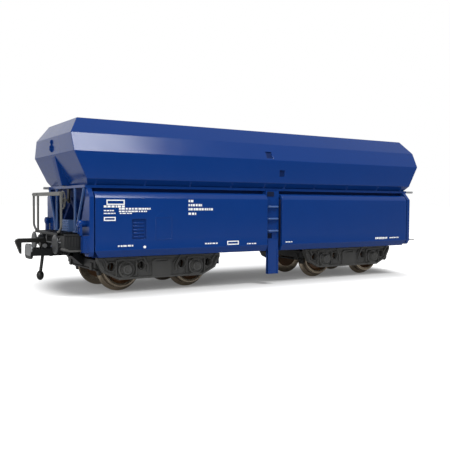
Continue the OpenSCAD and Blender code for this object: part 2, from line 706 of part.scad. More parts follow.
hopper_side_near();
hopper_side_far();
hopper_end(-1);  // hopper_end_left
hopper_end(1);  // hopper_end_right
waist_side_rails();
waist_end_rails();
saddle();
end_slopes();
end_cheeks();
pillars();
ladder_rungs();
discharge_levers();
centre_sill();
body_bolsters();
headstocks();
end_decks();
end_struts();
railing();
handwheel();
end_cabinet();
step_box();
latch_shafts();
ledge_pegs();
buffers(-1);  // buffers_left
buffers(1);  // buffers_right
king_pins();
flap(-1, -1);  // flap_near_left
flap(1, -1);  // flap_near_right
flap(-1, 1);  // flap_far_left
flap(1, 1);  // flap_far_right
bogie_side_frames(-1);  // bogie_left_side_frames
bogie_bolster(-1);  // bogie_left_bolster
bogie_end_beams(-1);  // bogie_left_end_beams
coupling(-1);  // coupling_left
bogie_side_frames(1);  // bogie_right_side_frames
bogie_bolster(1);  // bogie_right_bolster
bogie_end_beams(1);  // bogie_right_end_beams
coupling(1);  // coupling_right
hook(-1);  // hook_left
hook(1);  // hook_right
axle(1);  // axle_1
wheels(1);  // wheels_1
axle(2);  // axle_2
wheels(2);  // wheels_2
axle(3);  // axle_3
wheels(3);  // wheels_3
axle(4);  // axle_4
wheels(4);  // wheels_4
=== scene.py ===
import json
import math
import random

import bmesh
import bpy
from mathutils import Matrix, Vector
from mathutils.geometry import tessellate_polygon


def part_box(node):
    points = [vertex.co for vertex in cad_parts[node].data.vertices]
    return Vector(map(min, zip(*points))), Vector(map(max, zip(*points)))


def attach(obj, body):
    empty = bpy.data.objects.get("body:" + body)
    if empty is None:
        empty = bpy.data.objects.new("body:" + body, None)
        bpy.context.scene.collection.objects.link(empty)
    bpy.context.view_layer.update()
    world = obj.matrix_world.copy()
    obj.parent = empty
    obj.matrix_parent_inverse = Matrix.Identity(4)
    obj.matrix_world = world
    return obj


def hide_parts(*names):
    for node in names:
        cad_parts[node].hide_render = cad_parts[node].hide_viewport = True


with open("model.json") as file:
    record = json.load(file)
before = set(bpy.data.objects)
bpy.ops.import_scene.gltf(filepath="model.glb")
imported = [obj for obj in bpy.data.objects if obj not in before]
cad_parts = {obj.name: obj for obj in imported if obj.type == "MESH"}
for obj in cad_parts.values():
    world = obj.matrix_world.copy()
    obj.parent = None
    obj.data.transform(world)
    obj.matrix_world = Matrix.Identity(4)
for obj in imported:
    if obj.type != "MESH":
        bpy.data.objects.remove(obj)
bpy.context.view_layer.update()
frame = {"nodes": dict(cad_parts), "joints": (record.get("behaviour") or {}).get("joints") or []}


# ---------------- hopper shell
# The open hopper: one moulded shell of blue plastic, folded out at two ridges and back in to a
# foot lip and a narrow neck. It is satin, with a faint grain from the mould.
MM = 0.001
FULL_TURN = 2 * math.pi


def cad_mm(node):
    """Lowest and highest corner of a CAD node, in millimetres"""
    low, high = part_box(node)
    return [v / MM for v in low], [v / MM for v in high]


def shell_levels():
    """The shell's folds from the bottom up: height -> (outer, inner) half length and half width"""
    at_height = {}
    for vertex in frame["nodes"]["hopper_end_left"].data.vertices:
        x, y, z = (abs(v) / MM for v in vertex.co)
        if y > 5:
            at_height.setdefault(round(z, 1), []).append((x, y))
    folds = []
    for height in sorted(at_height):
        corners = at_height[height]
        outer = [max(c[0] for c in corners), max(c[1] for c in corners)]
        inner = [min(c[0] for c in corners), min(c[1] for c in corners)]
        folds.append((height, outer, inner))
    return folds


def skin(bm, rings, closed=False):
    """Faces between rings of points, each ring as long as the next; closed joins last to first"""
    rows = [[bm.verts.new(p) for p in ring] for ring in rings]
    pairs = list(zip(rows, rows[1:]))
    if closed:
        pairs.append((rows[-1], rows[0]))
    for low, high in pairs:
        for i in range(len(low)):
            j = (i + 1) % len(low)
            bm.faces.new((low[i], low[j], high[j], high[i]))
    return rows


def spot_on(axis, w, u, v):
    """A point w along one axis (0 is X, 1 Y, 2 Z), with u and v along the other two"""
    spot = [u, v]
    spot.insert(axis, w)
    return spot


def cut_plate(bm, outline, across, near, far, holes=()):
    """A plate cut to an outline, as thick as near to far along the axis across"""
    loops = [list(outline), *[list(hole) for hole in holes]]
    layers = [[[bm.verts.new(spot_on(across, w, u, v)) for u, v in loop] for loop in loops]
              for w in (near, far)]
    for layer in layers:
        if holes:
            flat = [v for loop in layer for v in loop]
            for a, b, c in tessellate_polygon([[(u, v, 0) for u, v in loop] for loop in loops]):
                bm.faces.new((flat[a], flat[b], flat[c]))
        else:
            bm.faces.new(layer[0])
    for front, back in zip(*layers):
        for i in range(len(front)):
            j = (i + 1) % len(front)
            bm.faces.new((front[i], front[j], back[j], back[i]))


def rectangle(u0, v0, u1, v1):
    """An outline with four square corners"""
    return [(u0, v0), (u1, v0), (u1, v1), (u0, v1)]


def block(bm, low, high):
    """A rectangular block between any two opposite corners"""
    cut_plate(bm, rectangle(low[0], low[1], high[0], high[1]), 2, low[2], high[2])


TONE_PATCH = 9
GLOSS_PATCH = 4
GLOSS_DRIFT = 0.05
GRAIN_DEPTH = 0.02
CREASE = 35


def feed(node, feeds):
    """Sets a node's inputs to numbers and colours, or links them to other nodes' sockets"""
    for key, value in feeds.items():
        if isinstance(value, bpy.types.NodeSocket):
            node.id_data.links.new(value, node.inputs[key])
        else:
            node.inputs[key].default_value = value
    return node


def added(tree, kind, feeds, **settings):
    """A new shader node with its settings and its inputs"""
    node = tree.nodes.new("ShaderNode" + kind)
    for key, value in settings.items():
        setattr(node, key, value)
    return feed(node, feeds)


def noise(tree, place, size_mm, detail):
    """Smooth noise whose blotches are about size_mm across"""
    feeds = {"Scale": 1 / (size_mm * MM), "Detail": detail, "Vector": place}
    return added(tree, "TexNoise", feeds).outputs["Fac"]


def moulded(name, colour, rough, tone, grain_mm, grain, metal=0.0, shine=0.35):
    """A moulded, painted or metal finish: its tone and gloss drift a little, over a fine grain"""
    material = bpy.data.materials.new(name)
    material.use_nodes = True
    tree = material.node_tree
    place = added(tree, "TexCoord", {}).outputs["Object"]
    drift = added(tree, "Mix", {
        "A": (*[c * (1 - tone) for c in colour], 1), "B": (*[min(1, c * (1 + tone)) for c in colour], 1),
        "Factor": noise(tree, place, TONE_PATCH, 4),
    }, data_type="RGBA")
    gloss = added(tree, "MapRange", {
        "To Min": rough - GLOSS_DRIFT, "To Max": rough + GLOSS_DRIFT,
        "Value": noise(tree, place, GLOSS_PATCH, 3),
    })
    bump = added(tree, "Bump", {
        "Strength": grain, "Distance": GRAIN_DEPTH * MM, "Height": noise(tree, place, grain_mm, 3),
    })
    feed(tree.nodes["Principled BSDF"], {
        "Metallic": metal, "Specular IOR Level": shine, "Base Color": drift.outputs["Result"],
        "Roughness": gloss.outputs["Result"], "Normal": bump.outputs["Normal"],
    })
    return material


def round_edges(piece, edge_mm, crease=CREASE):
    """Rounds a piece's edges where they are sharper than crease degrees"""
    rounding = piece.modifiers.new("rounded_edges", "BEVEL")
    rounding.width = edge_mm * MM
    rounding.segments = 2
    rounding.limit_method = "ANGLE"
    rounding.angle_limit = math.radians(crease)


def placed(name, data):
    """An object in the scene from a mesh, a lamp or a camera"""
    thing = bpy.data.objects.new(name, data)
    bpy.context.scene.collection.objects.link(thing)
    return thing


def drawn(bm, name, material):
    """An object from the faces drawn in millimetres"""
    bmesh.ops.recalc_face_normals(bm, faces=bm.faces)
    bm.transform(Matrix.Scale(MM, 4))
    mesh = bpy.data.meshes.new(name)
    bm.to_mesh(mesh)
    bm.free()
    mesh.materials.append(material)
    return placed(name, mesh)


def finish_piece(bm, name, body, material, edge_mm=0.0, stands_for=(), crease=CREASE):
    """Turns the drawn faces into a piece that rides on its CAD body, with edges sharper than
    crease degrees rounded by edge_mm, or left sharp"""
    piece = drawn(bm, name, material)
    mesh = piece.data
    mesh.polygons.foreach_set("use_smooth", [True] * len(mesh.polygons))
    if edge_mm:
        round_edges(piece, edge_mm, crease)
    else:
        mesh.set_sharp_from_angle(angle=math.radians(crease))
    facets = piece.modifiers.new("flat_faces_stay_flat", "WEIGHTED_NORMAL")
    facets.keep_sharp = True
    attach(piece, body)
    if stands_for:
        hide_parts(*stands_for)
    return piece


body_blue = moulded("body_blue_plastic", (0.0035, 0.031, 0.162), 0.19, 0.05, 0.5, 0.04, shine=0.2)

folds = shell_levels()
neck_low, neck_top, foot, ridge_low, ridge_top, rim = folds
POCKET_DEPTH = 0.45
SHADE_SHEET_BACK, SHADE_SHEET_FRONT = 0.02, 0.04


def ring_at(height, half):
    """The four corners of the hopper at one height"""
    return [(sx * half[0], sy * half[1], height) for sx, sy in ((-1, -1), (1, -1), (1, 1), (-1, 1))]


def wall_y(height):
    """Half width of the hopper's outer face at a height"""
    for low, high in zip(folds[2:], folds[3:]):
        if low[0] <= height <= high[0]:
            share = (height - low[0]) / (high[0] - low[0])
            return low[1][1] + share * (high[1][1] - low[1][1])


# footholds sunk into the sides over the pillar, as (fold below, x0, x1, z0, z1)
FOOTHOLDS = ((3, -2.65, -0.5, 36.7, 38.6), (2, 1.95, 3.85, 31.5, 33.4))


def on_wall(hold, side, out):
    """The four corners of a foothold, out from the wall; the far side's are turned half round"""
    x0, x1, z0, z1 = hold[1:]
    return [(-side * x, side * (wall_y(z) + out), z) for x, z in rectangle(x0, z0, x1, z1)]


shell = bmesh.new()
rows = skin(shell, [ring_at(fold[0], fold[1]) for fold in folds]
            + [ring_at(fold[0], fold[2]) for fold in reversed(folds)], closed=True)
# painted shade: a dark sheet lies on the bed of each foothold pocket to darken the recess
shade_sheets = bmesh.new()
for side, corner in ((-1, 0), (1, 2)):
    for hold in FOOTHOLDS:
        low, high = rows[hold[0]], rows[hold[0] + 1]
        panel = [low[corner], low[corner + 1], high[corner + 1], high[corner]]
        shell.faces.remove(shell.faces.get(panel))
        mouth = [shell.verts.new(spot) for spot in on_wall(hold, side, 0)]
        bed = [shell.verts.new(spot) for spot in on_wall(hold, side, -POCKET_DEPTH)]
        loose = panel + mouth
        for a, b, c in tessellate_polygon([[v.co for v in panel], [v.co for v in mouth]]):
            shell.faces.new((loose[a], loose[b], loose[c]))
        for i in range(4):
            shell.faces.new((mouth[i], mouth[(i + 1) % 4], bed[(i + 1) % 4], bed[i]))
        shell.faces.new(bed)
        shade_sheet_rows = skin(shade_sheets, [on_wall(hold, side, -POCKET_DEPTH - SHADE_SHEET_BACK),
                                 on_wall(hold, side, -POCKET_DEPTH + SHADE_SHEET_FRONT)])
        for row in shade_sheet_rows:
            shade_sheets.faces.new(row)
finish_piece(
    shell, "hopper_shell", "wagon", body_blue, 0.12,
    ("hopper_side_near", "hopper_side_far", "hopper_end_left", "hopper_end_right"), 8,
)
# painted shade: the dark navy of the foothold pockets' beds
pocket_painted_shade = moulded("foothold_painted_shade", (0.002, 0.014, 0.075), 0.6, 0.1, 0.4, 0.2, shine=0.1)
finish_piece(shade_sheets, "foothold_painted_shade_sheets", "wagon", pocket_painted_shade)


# ---------------- stiffeners on the hopper's ends
# A tapered box post under each end wall, running down to the waist rail, and a small lifting lug
# on the flat band above it. Both are moulded with the end wall.
waist_high = cad_mm("waist_side_rails")[1]
waist_top = waist_high[2]
ridge_x, foot_x, neck_x = ridge_low[1][0], foot[1][0], neck_top[1][0]
POST_HALF = 1.5
POST_OUT = 1.3
post = [
    (ridge_x - 0.1, ridge_low[0] - 0.4), (foot_x + POST_OUT, waist_top), (neck_x - 0.1, waist_top),
    (foot_x - 0.1, foot[0]), (ridge_x - 0.5, ridge_low[0] - 0.5),
]
# the lug's outline, as (out from the band, height)
LUG = ((0, 40.4), (0.55, 40.1), (0.6, 39.4), (0.35, 39), (0.75, 38.5), (0.7, 37.5), (0.35, 37), (0, 36.9))
LUG_Y = 0.45
LUG_T = 0.5


def flipped(outline, sign):
    """An outline with its first coordinate turned over where sign is -1"""
    return [(sign * u, v) for u, v in outline]


stiffeners = bmesh.new()
for end in (-1, 1):
    cut_plate(stiffeners, flipped(post, end), 1, -POST_HALF, POST_HALF)
    band_x = ridge_top[1][0] - 0.15
    cut_plate(stiffeners, [(end * (band_x + out), z) for out, z in LUG], 1, LUG_Y, LUG_Y + LUG_T)
finish_piece(stiffeners, "end_stiffeners", "wagon", body_blue, 0.12)


# ---------------- ribs over the waist rail
# Below its lowest fold the side runs in to the waist rail. Ten short upright webs stand on the rail
# along each side and hold the fold. They are moulded with the shell.
RIB_X = (-53.6, -40.3, -27.0, -13.9, -2.6, 4.7, 16.1, 29.2, 42.4, 53.6)
RIB_T = 0.45
rib_outline = [
    (neck_top[1][1] - 0.2, waist_top - 0.05), (waist_high[1], waist_top - 0.05),
    (waist_high[1], waist_top + 0.3), (foot[1][1] - 0.1, foot[0] - 0.05), (foot[1][1] - 0.4, foot[0] + 0.1),
]
ribs = bmesh.new()
for side in (-1, 1):
    for x in RIB_X:
        middle = -side * x
        cut_plate(ribs, flipped(rib_outline, side), 0, middle - RIB_T / 2, middle + RIB_T / 2)
finish_piece(ribs, "waist_ribs", "wagon", body_blue, 0.05)


# ---------------- waist rails, saddle and end slopes
# Flat rails run round the waist. Inside, a roof-shaped saddle throws the load to both sides, and
# sloping plates close the ends. All are blue plastic; the inner plates are rougher, and darker as painted
# shade.
# painted shade: a darker copy of the body blue for the saddle, end slopes and hinge shrouds, which lie in
# shade
painted_shade_blue = moulded("painted_shade_inner_plastic", (0.002, 0.014, 0.08), 0.55, 0.14, 0.5, 0.3, shine=0.08)
SAME_CORNER = 0.002


def dress(node, material, edge_mm=0.08):
    """Keeps a CAD node, with a finish and softly rounded edges"""
    part = frame["nodes"][node]
    part.data.materials.clear()
    part.data.materials.append(material)
    joined = part.modifiers.new("joined_corners", "WELD")
    joined.merge_threshold = SAME_CORNER * MM
    round_edges(part, edge_mm)
    part.modifiers.new("flat_faces_stay_flat", "WEIGHTED_NORMAL")


for node in ("waist_side_rails", "waist_end_rails", "end_cheeks"):
    dress(node, body_blue)
for node in ("saddle", "end_slopes"):
    dress(node, painted_shade_blue)


# ---------------- discharge flaps
# Four long flaps close the lower hopper. Each is a thin pressed plate with a sloping top edge,
# a folded bottom lip and a knuckle that turns on pins in the end cheek and the pillar.
paint_white = moulded("marking_white", (0.78, 0.79, 0.78), 0.45, 0.05, 0.2, 0.1)
joints = {joint["name"]: joint for joint in frame["joints"]}
hinge_z = joints["flap_near_left_open"]["pos_m"][2] / MM
FLAP_T = 0.8
LIP_BEVEL, BEVEL_RUN = 1.6, 1.2
FOLD_Z = 11.6
KNUCKLE_R = 0.52
PIN_R = 0.45
PIN_OUT = 1.0
PIN_IN = 2.1
LOUVRE_X = (-44.6, -40.75)
LOUVRE_Z = (14.4, 19.5)
LOUVRE_DEPTH = 0.5
SLATS = 5
INNER_RIBS = 5
INNER_RIB_FOOT = 12.4
MARK_PROUD = 0.05


def circle(u, v, radius, steps, start=0.0):
    """A round outline of steps points, the first at start of a step past the first axis"""
    angles = [FULL_TURN * (i + start) / steps for i in range(steps)]
    return [(u + radius * math.cos(a), v + radius * math.sin(a)) for a in angles]


def turned(bm, profile, centre, axis, steps):
    """A part turned on a lathe: a closed outline of (distance along the axis, radius) points"""
    rings = []
    for u, v in circle(0, 0, 1, steps):
        spots = [spot_on(axis, along, radius * u, radius * v) for along, radius in profile]
        rings.append([[c + s for c, s in zip(centre, spot)] for spot in spots])
    rows = skin(bm, rings, closed=True)
    bmesh.ops.remove_doubles(bm, verts=[v for row in rows for v in row], dist=1e-5)


def flap_profile(sunk, lip_low):
    """The flap's section as (depth behind the face, height); sunk is how deep the louvre lies"""
    lip_h, lip_in = 1.7, 0.8
    tip = FOLD_Z - lip_h + lip_low
    tip_in = lip_in - lip_low * lip_in / lip_h
    low, high = LOUVRE_Z
    return [
        (1.4, hinge_z + 0.5), (0.68, hinge_z + 0.03), (0.08, hinge_z - 1), (0, hinge_z - 1.25), (0, high),
        (sunk, high), (sunk, low), (0, low), (0, FOLD_Z + 0.45), (-0.12, FOLD_Z + 0.25), (-0.12, FOLD_Z),
        (tip_in, tip), (tip_in + FLAP_T, tip + 0.2), (FLAP_T, FOLD_Z + 0.2), (FLAP_T, hinge_z - 1.15),
        (1.9, hinge_z - 0.3),
    ]


# Blank marks, as (x0, z0, x1, z1), on the left and on the right flap of a side
LEFT_MARKS = (
    (-52.2, 22.45, -46.7, 22.95), (-52.2, 21.55, -49.6, 21.8), (-52.2, 20.85, -48.7, 21.1),
    (-48.2, 21.9, -39.6, 22.35), (-48.2, 21.3, -40.6, 21.65), (-48.0, 20.85, -44.6, 21.1),
    (-28.5, 23.9, -27.0, 24.5), (-28.5, 22.8, -24.4, 23.4), (-28.5, 21.7, -21.0, 22.3),
    (-28.5, 20.5, -26.2, 21.1), (-48.5, 12.55, -44.4, 12.95), (-23.4, 12.5, -19.4, 12.85),
    (-9.7, 12.1, -6.6, 12.4),
)
LEFT_FRAMES = ((-51.5, 23.1, -46.7, 24.4), (-52.2, 19.1, -49.1, 20.1), (-16.3, 12.1, -12.5, 13.2))
RIGHT_MARKS = ((3.9, 12.2, 6.4, 12.5), (40.2, 12.3, 45.6, 12.9), (46.6, 12.45, 50.8, 12.8))
FRAME_RIM = 0.28
DASH, DASH_GAP = (0.35, 0.9), (0.12, 0.3)
DOT_X, DOT_Z, DOT_R = -41.2, 12.3, 0.38
HATCH = [(-38.2, 14), (-33.3, 14), (-33.3, 20.0), (-36.5, 21.5), (-38.2, 20.0)]
HATCH_HOLE = rectangle(-37.95, 14.25, -33.55, 19.75)


def build_flap(name, hand, side):
    """hand is -1 for the flap with the louvre, side -1 near or 1 far; the far side is turned round"""
    low, high = cad_mm("flap_" + name)
    face = max(abs(low[1]), abs(high[1]))
    turn = -side
    pin_x = sorted((turn * low[0], turn * high[0]))
    x0, x1 = pin_x[0] + PIN_OUT, pin_x[1] - PIN_OUT
    outer_end, inner_end = (x0, x1) if hand < 0 else (x1, x0)
    sections = [(outer_end, 0, LIP_BEVEL), (outer_end - hand * BEVEL_RUN, 0, 0)]
    if hand < 0:
        near_x, far_x = LOUVRE_X
        sections += [(near_x, 0, 0), (near_x, LOUVRE_DEPTH, 0), (far_x, LOUVRE_DEPTH, 0), (far_x, 0, 0)]
    sections.append((inner_end, 0, 0))

    plate = bmesh.new()
    rows = skin(plate, [
        [(turn * x, side * (face - depth), z) for depth, z in flap_profile(sunk, lip)]
        for x, sunk, lip in sections
    ])
    for end_row in (rows[0], rows[-1]):
        plate.faces.new(end_row)
    bmesh.ops.remove_doubles(plate, verts=plate.verts, dist=1e-4)
    bmesh.ops.dissolve_degenerate(plate, edges=plate.edges, dist=1e-4)

    def on_face(bm, outline, depth, out, holes=()):
        cut_plate(bm, flipped(outline, turn), 1, side * (face - depth), side * (face + out),
                  [flipped(hole, turn) for hole in holes])

    if hand < 0:
        # louvre slats in the sunk panel, and the raised outline of a blanked hatch
        for i in range(SLATS):
            z = LOUVRE_Z[0] + 0.35 + i * (LOUVRE_Z[1] - LOUVRE_Z[0] - 0.65) / SLATS
            block(plate, (turn * (near_x + 0.35), side * (face - LOUVRE_DEPTH - 0.1), z),
                  (turn * (far_x - 0.35), side * (face - 0.22), z + 0.4))
        on_face(plate, HATCH, 0.1, 0.07, [HATCH_HOLE])
    # the rolled knuckle, with the pins standing out at both ends
    for start, stop, radius in ((x0 + 0.05, x1 - 0.05, KNUCKLE_R), (*pin_x, PIN_R)):
        turned(plate, [(start, 0), (start, radius), (stop, radius), (stop, 0)],
               (0, side * (face - PIN_IN), hinge_z), 0, 20)
    # stiffening ribs on the inside, out of sight from the side
    for i in range(1, INNER_RIBS + 1):
        x = x0 + i * (x1 - x0) / (INNER_RIBS + 1)
        block(plate, (turn * (x - 0.2), side * (face - FLAP_T - 0.35), INNER_RIB_FOOT),
              (turn * (x + 0.2), side * (face - FLAP_T + 0.1), hinge_z - 1.6))
    finish_piece(plate, "discharge_flap_" + name, "flap_" + name, body_blue, 0.08,
                 ("flap_" + name,))

    marks = bmesh.new()
    dashes = random.Random(5)
    for mx0, mz0, mx1, mz1 in LEFT_MARKS if hand < 0 else RIGHT_MARKS:
        x = mx0
        while x < mx1 - 0.2:
            stop = min(mx1, x + dashes.uniform(*DASH))
            on_face(marks, rectangle(x, mz0, stop, mz1), MARK_PROUD, MARK_PROUD)
            x = stop + dashes.uniform(*DASH_GAP)
    if hand < 0:
        for fx0, fz0, fx1, fz1 in LEFT_FRAMES:
            inner = rectangle(fx0 + FRAME_RIM, fz0 + FRAME_RIM, fx1 - FRAME_RIM, fz1 - FRAME_RIM)
            on_face(marks, rectangle(fx0, fz0, fx1, fz1), MARK_PROUD, MARK_PROUD, [inner])
        on_face(marks, circle(DOT_X, DOT_Z, DOT_R, 16), MARK_PROUD, MARK_PROUD)
    finish_piece(marks, "blank_marks_" + name, "flap_" + name, paint_white)


# a shroud under the hopper's neck closes the slot behind each hinge line; its darker blue is painted shade
SHROUD_HALF, SHROUD_LOW, SHROUD_Y = 54.4, 25.0, (14.8, 15.1)
shrouds = bmesh.new()
for side in (-1, 1):
    block(shrouds, (-SHROUD_HALF, side * SHROUD_Y[0], SHROUD_LOW),
          (SHROUD_HALF, side * SHROUD_Y[1], neck_low[0] + 0.1))
finish_piece(shrouds, "hinge_shrouds", "wagon", painted_shade_blue)

build_flap("near_left", -1, -1)
build_flap("near_right", 1, -1)
build_flap("far_right", -1, 1)
build_flap("far_left", 1, 1)


# ---------------- pillars, rungs and levers
# Between the two flaps of a side stands a blue pillar with three round rungs across it. Under it
# hangs the flat blade that opens the flaps, with a raised edge at each side.
rung_blue = moulded("rung_blue_paint", (0.05, 0.105, 0.27), 0.35, 0.06, 0.3, 0.1)
BEND_STEPS = 6
BEND_SHARE = 0.45


def wire(bm, points, radius, bend, steps):
    """A wire through points, bent round at its corners, with flat ends"""
    points = [Vector(point) for point in points]
    path = [points[0]]
    for before, corner, after in zip(points, points[1:], points[2:]):
        start, stop = (corner + (far - corner).normalized() * min(bend, (far - corner).length * BEND_SHARE)
                       for far in (before, after))
        for i in range(BEND_STEPS + 1):
            share = i / BEND_STEPS
            path.append(start.lerp(corner, share).lerp(corner.lerp(stop, share), share))
    path.append(points[-1])
    heading = (path[1] - path[0]).normalized()
    across = heading.orthogonal().normalized()
    rings = []
    for i, spot in enumerate(path):
        before = path[max(i - 1, 0)]
        after = path[min(i + 1, len(path) - 1)]
        ahead = (after - before).normalized()
        across = (across - ahead * across.dot(ahead)).normalized()
        up = ahead.cross(across)
        rings.append([spot + radius * (u * across + v * up) for u, v in circle(0, 0, 1, steps)])
    rows = skin(bm, rings)
    bm.faces.new(rows[0])
    bm.faces.new(rows[-1])


dress("pillars", body_blue)
pillar_high = cad_mm("pillars")[1]
rung_low, rung_high = cad_mm("ladder_rungs")
lever_low, lever_high = cad_mm("discharge_levers")
RUNG_R = 0.28
RUNG_Z = (rung_low[2] + RUNG_R, (rung_low[2] + rung_high[2]) / 2, rung_high[2] - RUNG_R)

rungs = bmesh.new()
for side in (-1, 1):
    for z in RUNG_Z:
        front = side * (rung_high[1] - RUNG_R)
        back = side * (rung_high[1] - 1.2)
        x = rung_high[0] - RUNG_R
        wire(rungs, [(-x, back, z), (-x, front, z), (x, front, z), (x, back, z)], RUNG_R, 0.35, 12)
finish_piece(rungs, "pillar_rungs", "wagon", rung_blue, stands_for=("ladder_rungs",))

LEVER_EDGE = 0.4
LEVER_EDGE_TOP = 10.4
# how far behind the lever's front its faces lie: edge front, blade front and back, edge back
LEVER_FACES = (0, 0.2, 0.7, 1.2)
levers = bmesh.new()
for side in (-1, 1):
    front, web, web_back, back = (side * (lever_high[1] - depth) for depth in LEVER_FACES)
    half = lever_high[0]
    block(levers, (-half, web, lever_low[2]), (half, web_back, lever_high[2]))
    for x0 in (-half, half - LEVER_EDGE):
        block(levers, (x0, front, lever_low[2]), (x0 + LEVER_EDGE, back, LEVER_EDGE_TOP))
finish_piece(levers, "discharge_levers_bent", "wagon", body_blue, 0.08, ("discharge_levers",))

# A black catch at the head of each pillar, and a dark block deep in the slot for the lever's rod: painted
# shade for the slot's mouth
catch_and_slot_shade_black = moulded("black_catch_with_painted_slot_shade", (0.003, 0.008, 0.03), 0.6, 0.1, 0.3, 0.2, shine=0.15)
# each as (x0, x1, z0, z1, proud of the pillar); the second lies in a slot, as painted shade
CATCH_AND_SLOT_SHADE_BLOCKS = ((-1.9, 0.5, 25.7, 27.1, 0.12), (-1.72, -0.03, 13.53, 14.97, -0.3))
CATCH_ROOT = 0.6
catch_and_shade_blocks = bmesh.new()
for side in (-1, 1):
    for x0, x1, z0, z1, out in CATCH_AND_SLOT_SHADE_BLOCKS:
        block(catch_and_shade_blocks, (-side * x0, side * (pillar_high[1] - CATCH_ROOT), z0),
              (-side * x1, side * (pillar_high[1] + out), z1))
finish_piece(catch_and_shade_blocks, "pillar_catch_and_slot_shade_blocks", "wagon", catch_and_slot_shade_black)


# ---------------- underframe
# A black plastic sill with flanges runs between the buffer beams. Webs over the bogies carry the
# saddle, and a steel pin under each holds the bogie.
frame_black = moulded("frame_black_plastic", (0.0065, 0.007, 0.0075), 0.42, 0.2, 0.4, 0.3, shine=0.16)
steel = moulded("bare_steel", (0.42, 0.42, 0.41), 0.3, 0.08, 0.15, 0.15, metal=1.0)

sill_low, sill_high = cad_mm("centre_sill")
SILL_FLANGE = 0.5
WEB_IN = 0.8
WEB_PITCH = 5.4
WEB_HALF_T = 0.2
sill_y, sill_z0, sill_z1 = sill_high[1], sill_low[2], sill_high[2]
half_section = [
    (sill_y, sill_z0), (sill_y, sill_z0 + SILL_FLANGE), (sill_y - WEB_IN, sill_z0 + SILL_FLANGE),
    (sill_y - WEB_IN, sill_z1 - SILL_FLANGE), (sill_y, sill_z1 - SILL_FLANGE), (sill_y, sill_z1),
]
sill = bmesh.new()
cut_plate(sill, half_section + flipped(reversed(half_section), -1), 0, sill_low[0], sill_high[0])
for i in range(-10, 11):
    x = i * WEB_PITCH
    for side in (-1, 1):
        block(sill, (x - WEB_HALF_T, side * (sill_y - 1), sill_z0 + 0.1),
              (x + WEB_HALF_T, side * (sill_y - 0.1), sill_z1 - 0.1))
finish_piece(sill, "flanged_centre_sill", "wagon", frame_black, 0.06, ("centre_sill",))
dress("body_bolsters", frame_black)
dress("king_pins", steel, 0.05)


# ---------------- headstocks
# Each buffer beam is a black channel across the wagon's end. A plate with four bolts carries
# each buffer; bolts run along the beam, and a pale strip on its edge is a painted highlight.
beam_low, beam_high = cad_mm("headstocks")
buffer_low, buffer_high = cad_mm("buffers_right")
BUFFER_Y = 10.05
buffer_z = (buffer_low[2] + buffer_high[2]) / 2
NOTCH_HALF = 6.6
NOTCH_Z = 12.0
BEAM_T = 1.2
BEAM_WEB = 0.25
FLANGE_T = 0.45
SIDE_FLANGE_T = 0.4
PLATE_HALF_W, PLATE_HALF_H, PLATE_PROUD = 2.3, 2.0, 0.12
BOLT_ROOT = 0.1


def hex_bolt(bm, spot, axis, out, size, height):
    """A six-sided bolt head standing out along an axis"""
    u, v = (spot[k] for k in range(3) if k != axis)
    cut_plate(bm, circle(u, v, size, 6), axis, spot[axis] - BOLT_ROOT * out, spot[axis] + height * out)


beams = bmesh.new()
for end in (-1, 1):
    face = end * beam_high[0]
    back = end * (beam_high[0] - BEAM_T)
    web = face - end * BEAM_WEB
    half, z0, z1 = beam_high[1], beam_low[2], beam_high[2]
    half_web = [(NOTCH_HALF, NOTCH_Z), (NOTCH_HALF, z0), (half, z0), (half, z1)]
    cut_plate(beams, half_web + flipped(reversed(half_web), -1), 0, web, back)
    # flanges along the top, over the notch, and round the two sides
    flanges = [(-half, z1 - FLANGE_T, half, z1), (-NOTCH_HALF, NOTCH_Z, NOTCH_HALF, NOTCH_Z + SIDE_FLANGE_T)]
    for side in (-1, 1):
        flanges += [(side * NOTCH_HALF, z0, side * half, z0 + FLANGE_T),
                    (side * (half - SIDE_FLANGE_T), z0, side * half, z1)]
        y = side * BUFFER_Y
        cut_plate(beams, rectangle(y - PLATE_HALF_W, buffer_z - PLATE_HALF_H, y + PLATE_HALF_W,
                                   buffer_z + PLATE_HALF_H), 0, face + end * PLATE_PROUD, back)
        for u in (-1.75, 1.75):
            for v in (-1.5, 1.5):
                hex_bolt(beams, (face + end * PLATE_PROUD, y + u, buffer_z + v), 0, end, 0.3, 0.22)
    for flange in flanges:
        cut_plate(beams, rectangle(*flange), 0, face, back)
    for i in range(-4, 5):
        hex_bolt(beams, (web, i * 1.4, z1 - 1.0), 0, end, 0.2, 0.18)
finish_piece(beams, "buffer_beams", "wagon", frame_black, 0.06, ("headstocks",))

# A thin pale grey strip runs along the beam and up at its far side: a painted highlight on the beam's edge
# grey paint for the ledge pegs, and the painted highlight of the beam's edge strips
grey_paint_and_highlight = moulded("grey_paint_and_painted_highlight", (0.24, 0.245, 0.25), 0.4, 0.08, 0.3, 0.15)
EDGE_HIGHLIGHT_STRIPS = ((-0.8, 12.75, 7.4, 13.0), (7.15, 12.75, 7.4, 14.8))
edge_highlight_strips = bmesh.new()
for end in (-1, 1):
    web = end * (beam_high[0] - BEAM_WEB)
    for strip in EDGE_HIGHLIGHT_STRIPS:
        cut_plate(edge_highlight_strips, flipped(rectangle(*strip), -end), 0, web - end * 0.1, web + end * 0.15)
finish_piece(edge_highlight_strips, "beam_edge_painted_highlight", "wagon", grey_paint_and_highlight, 0.03)


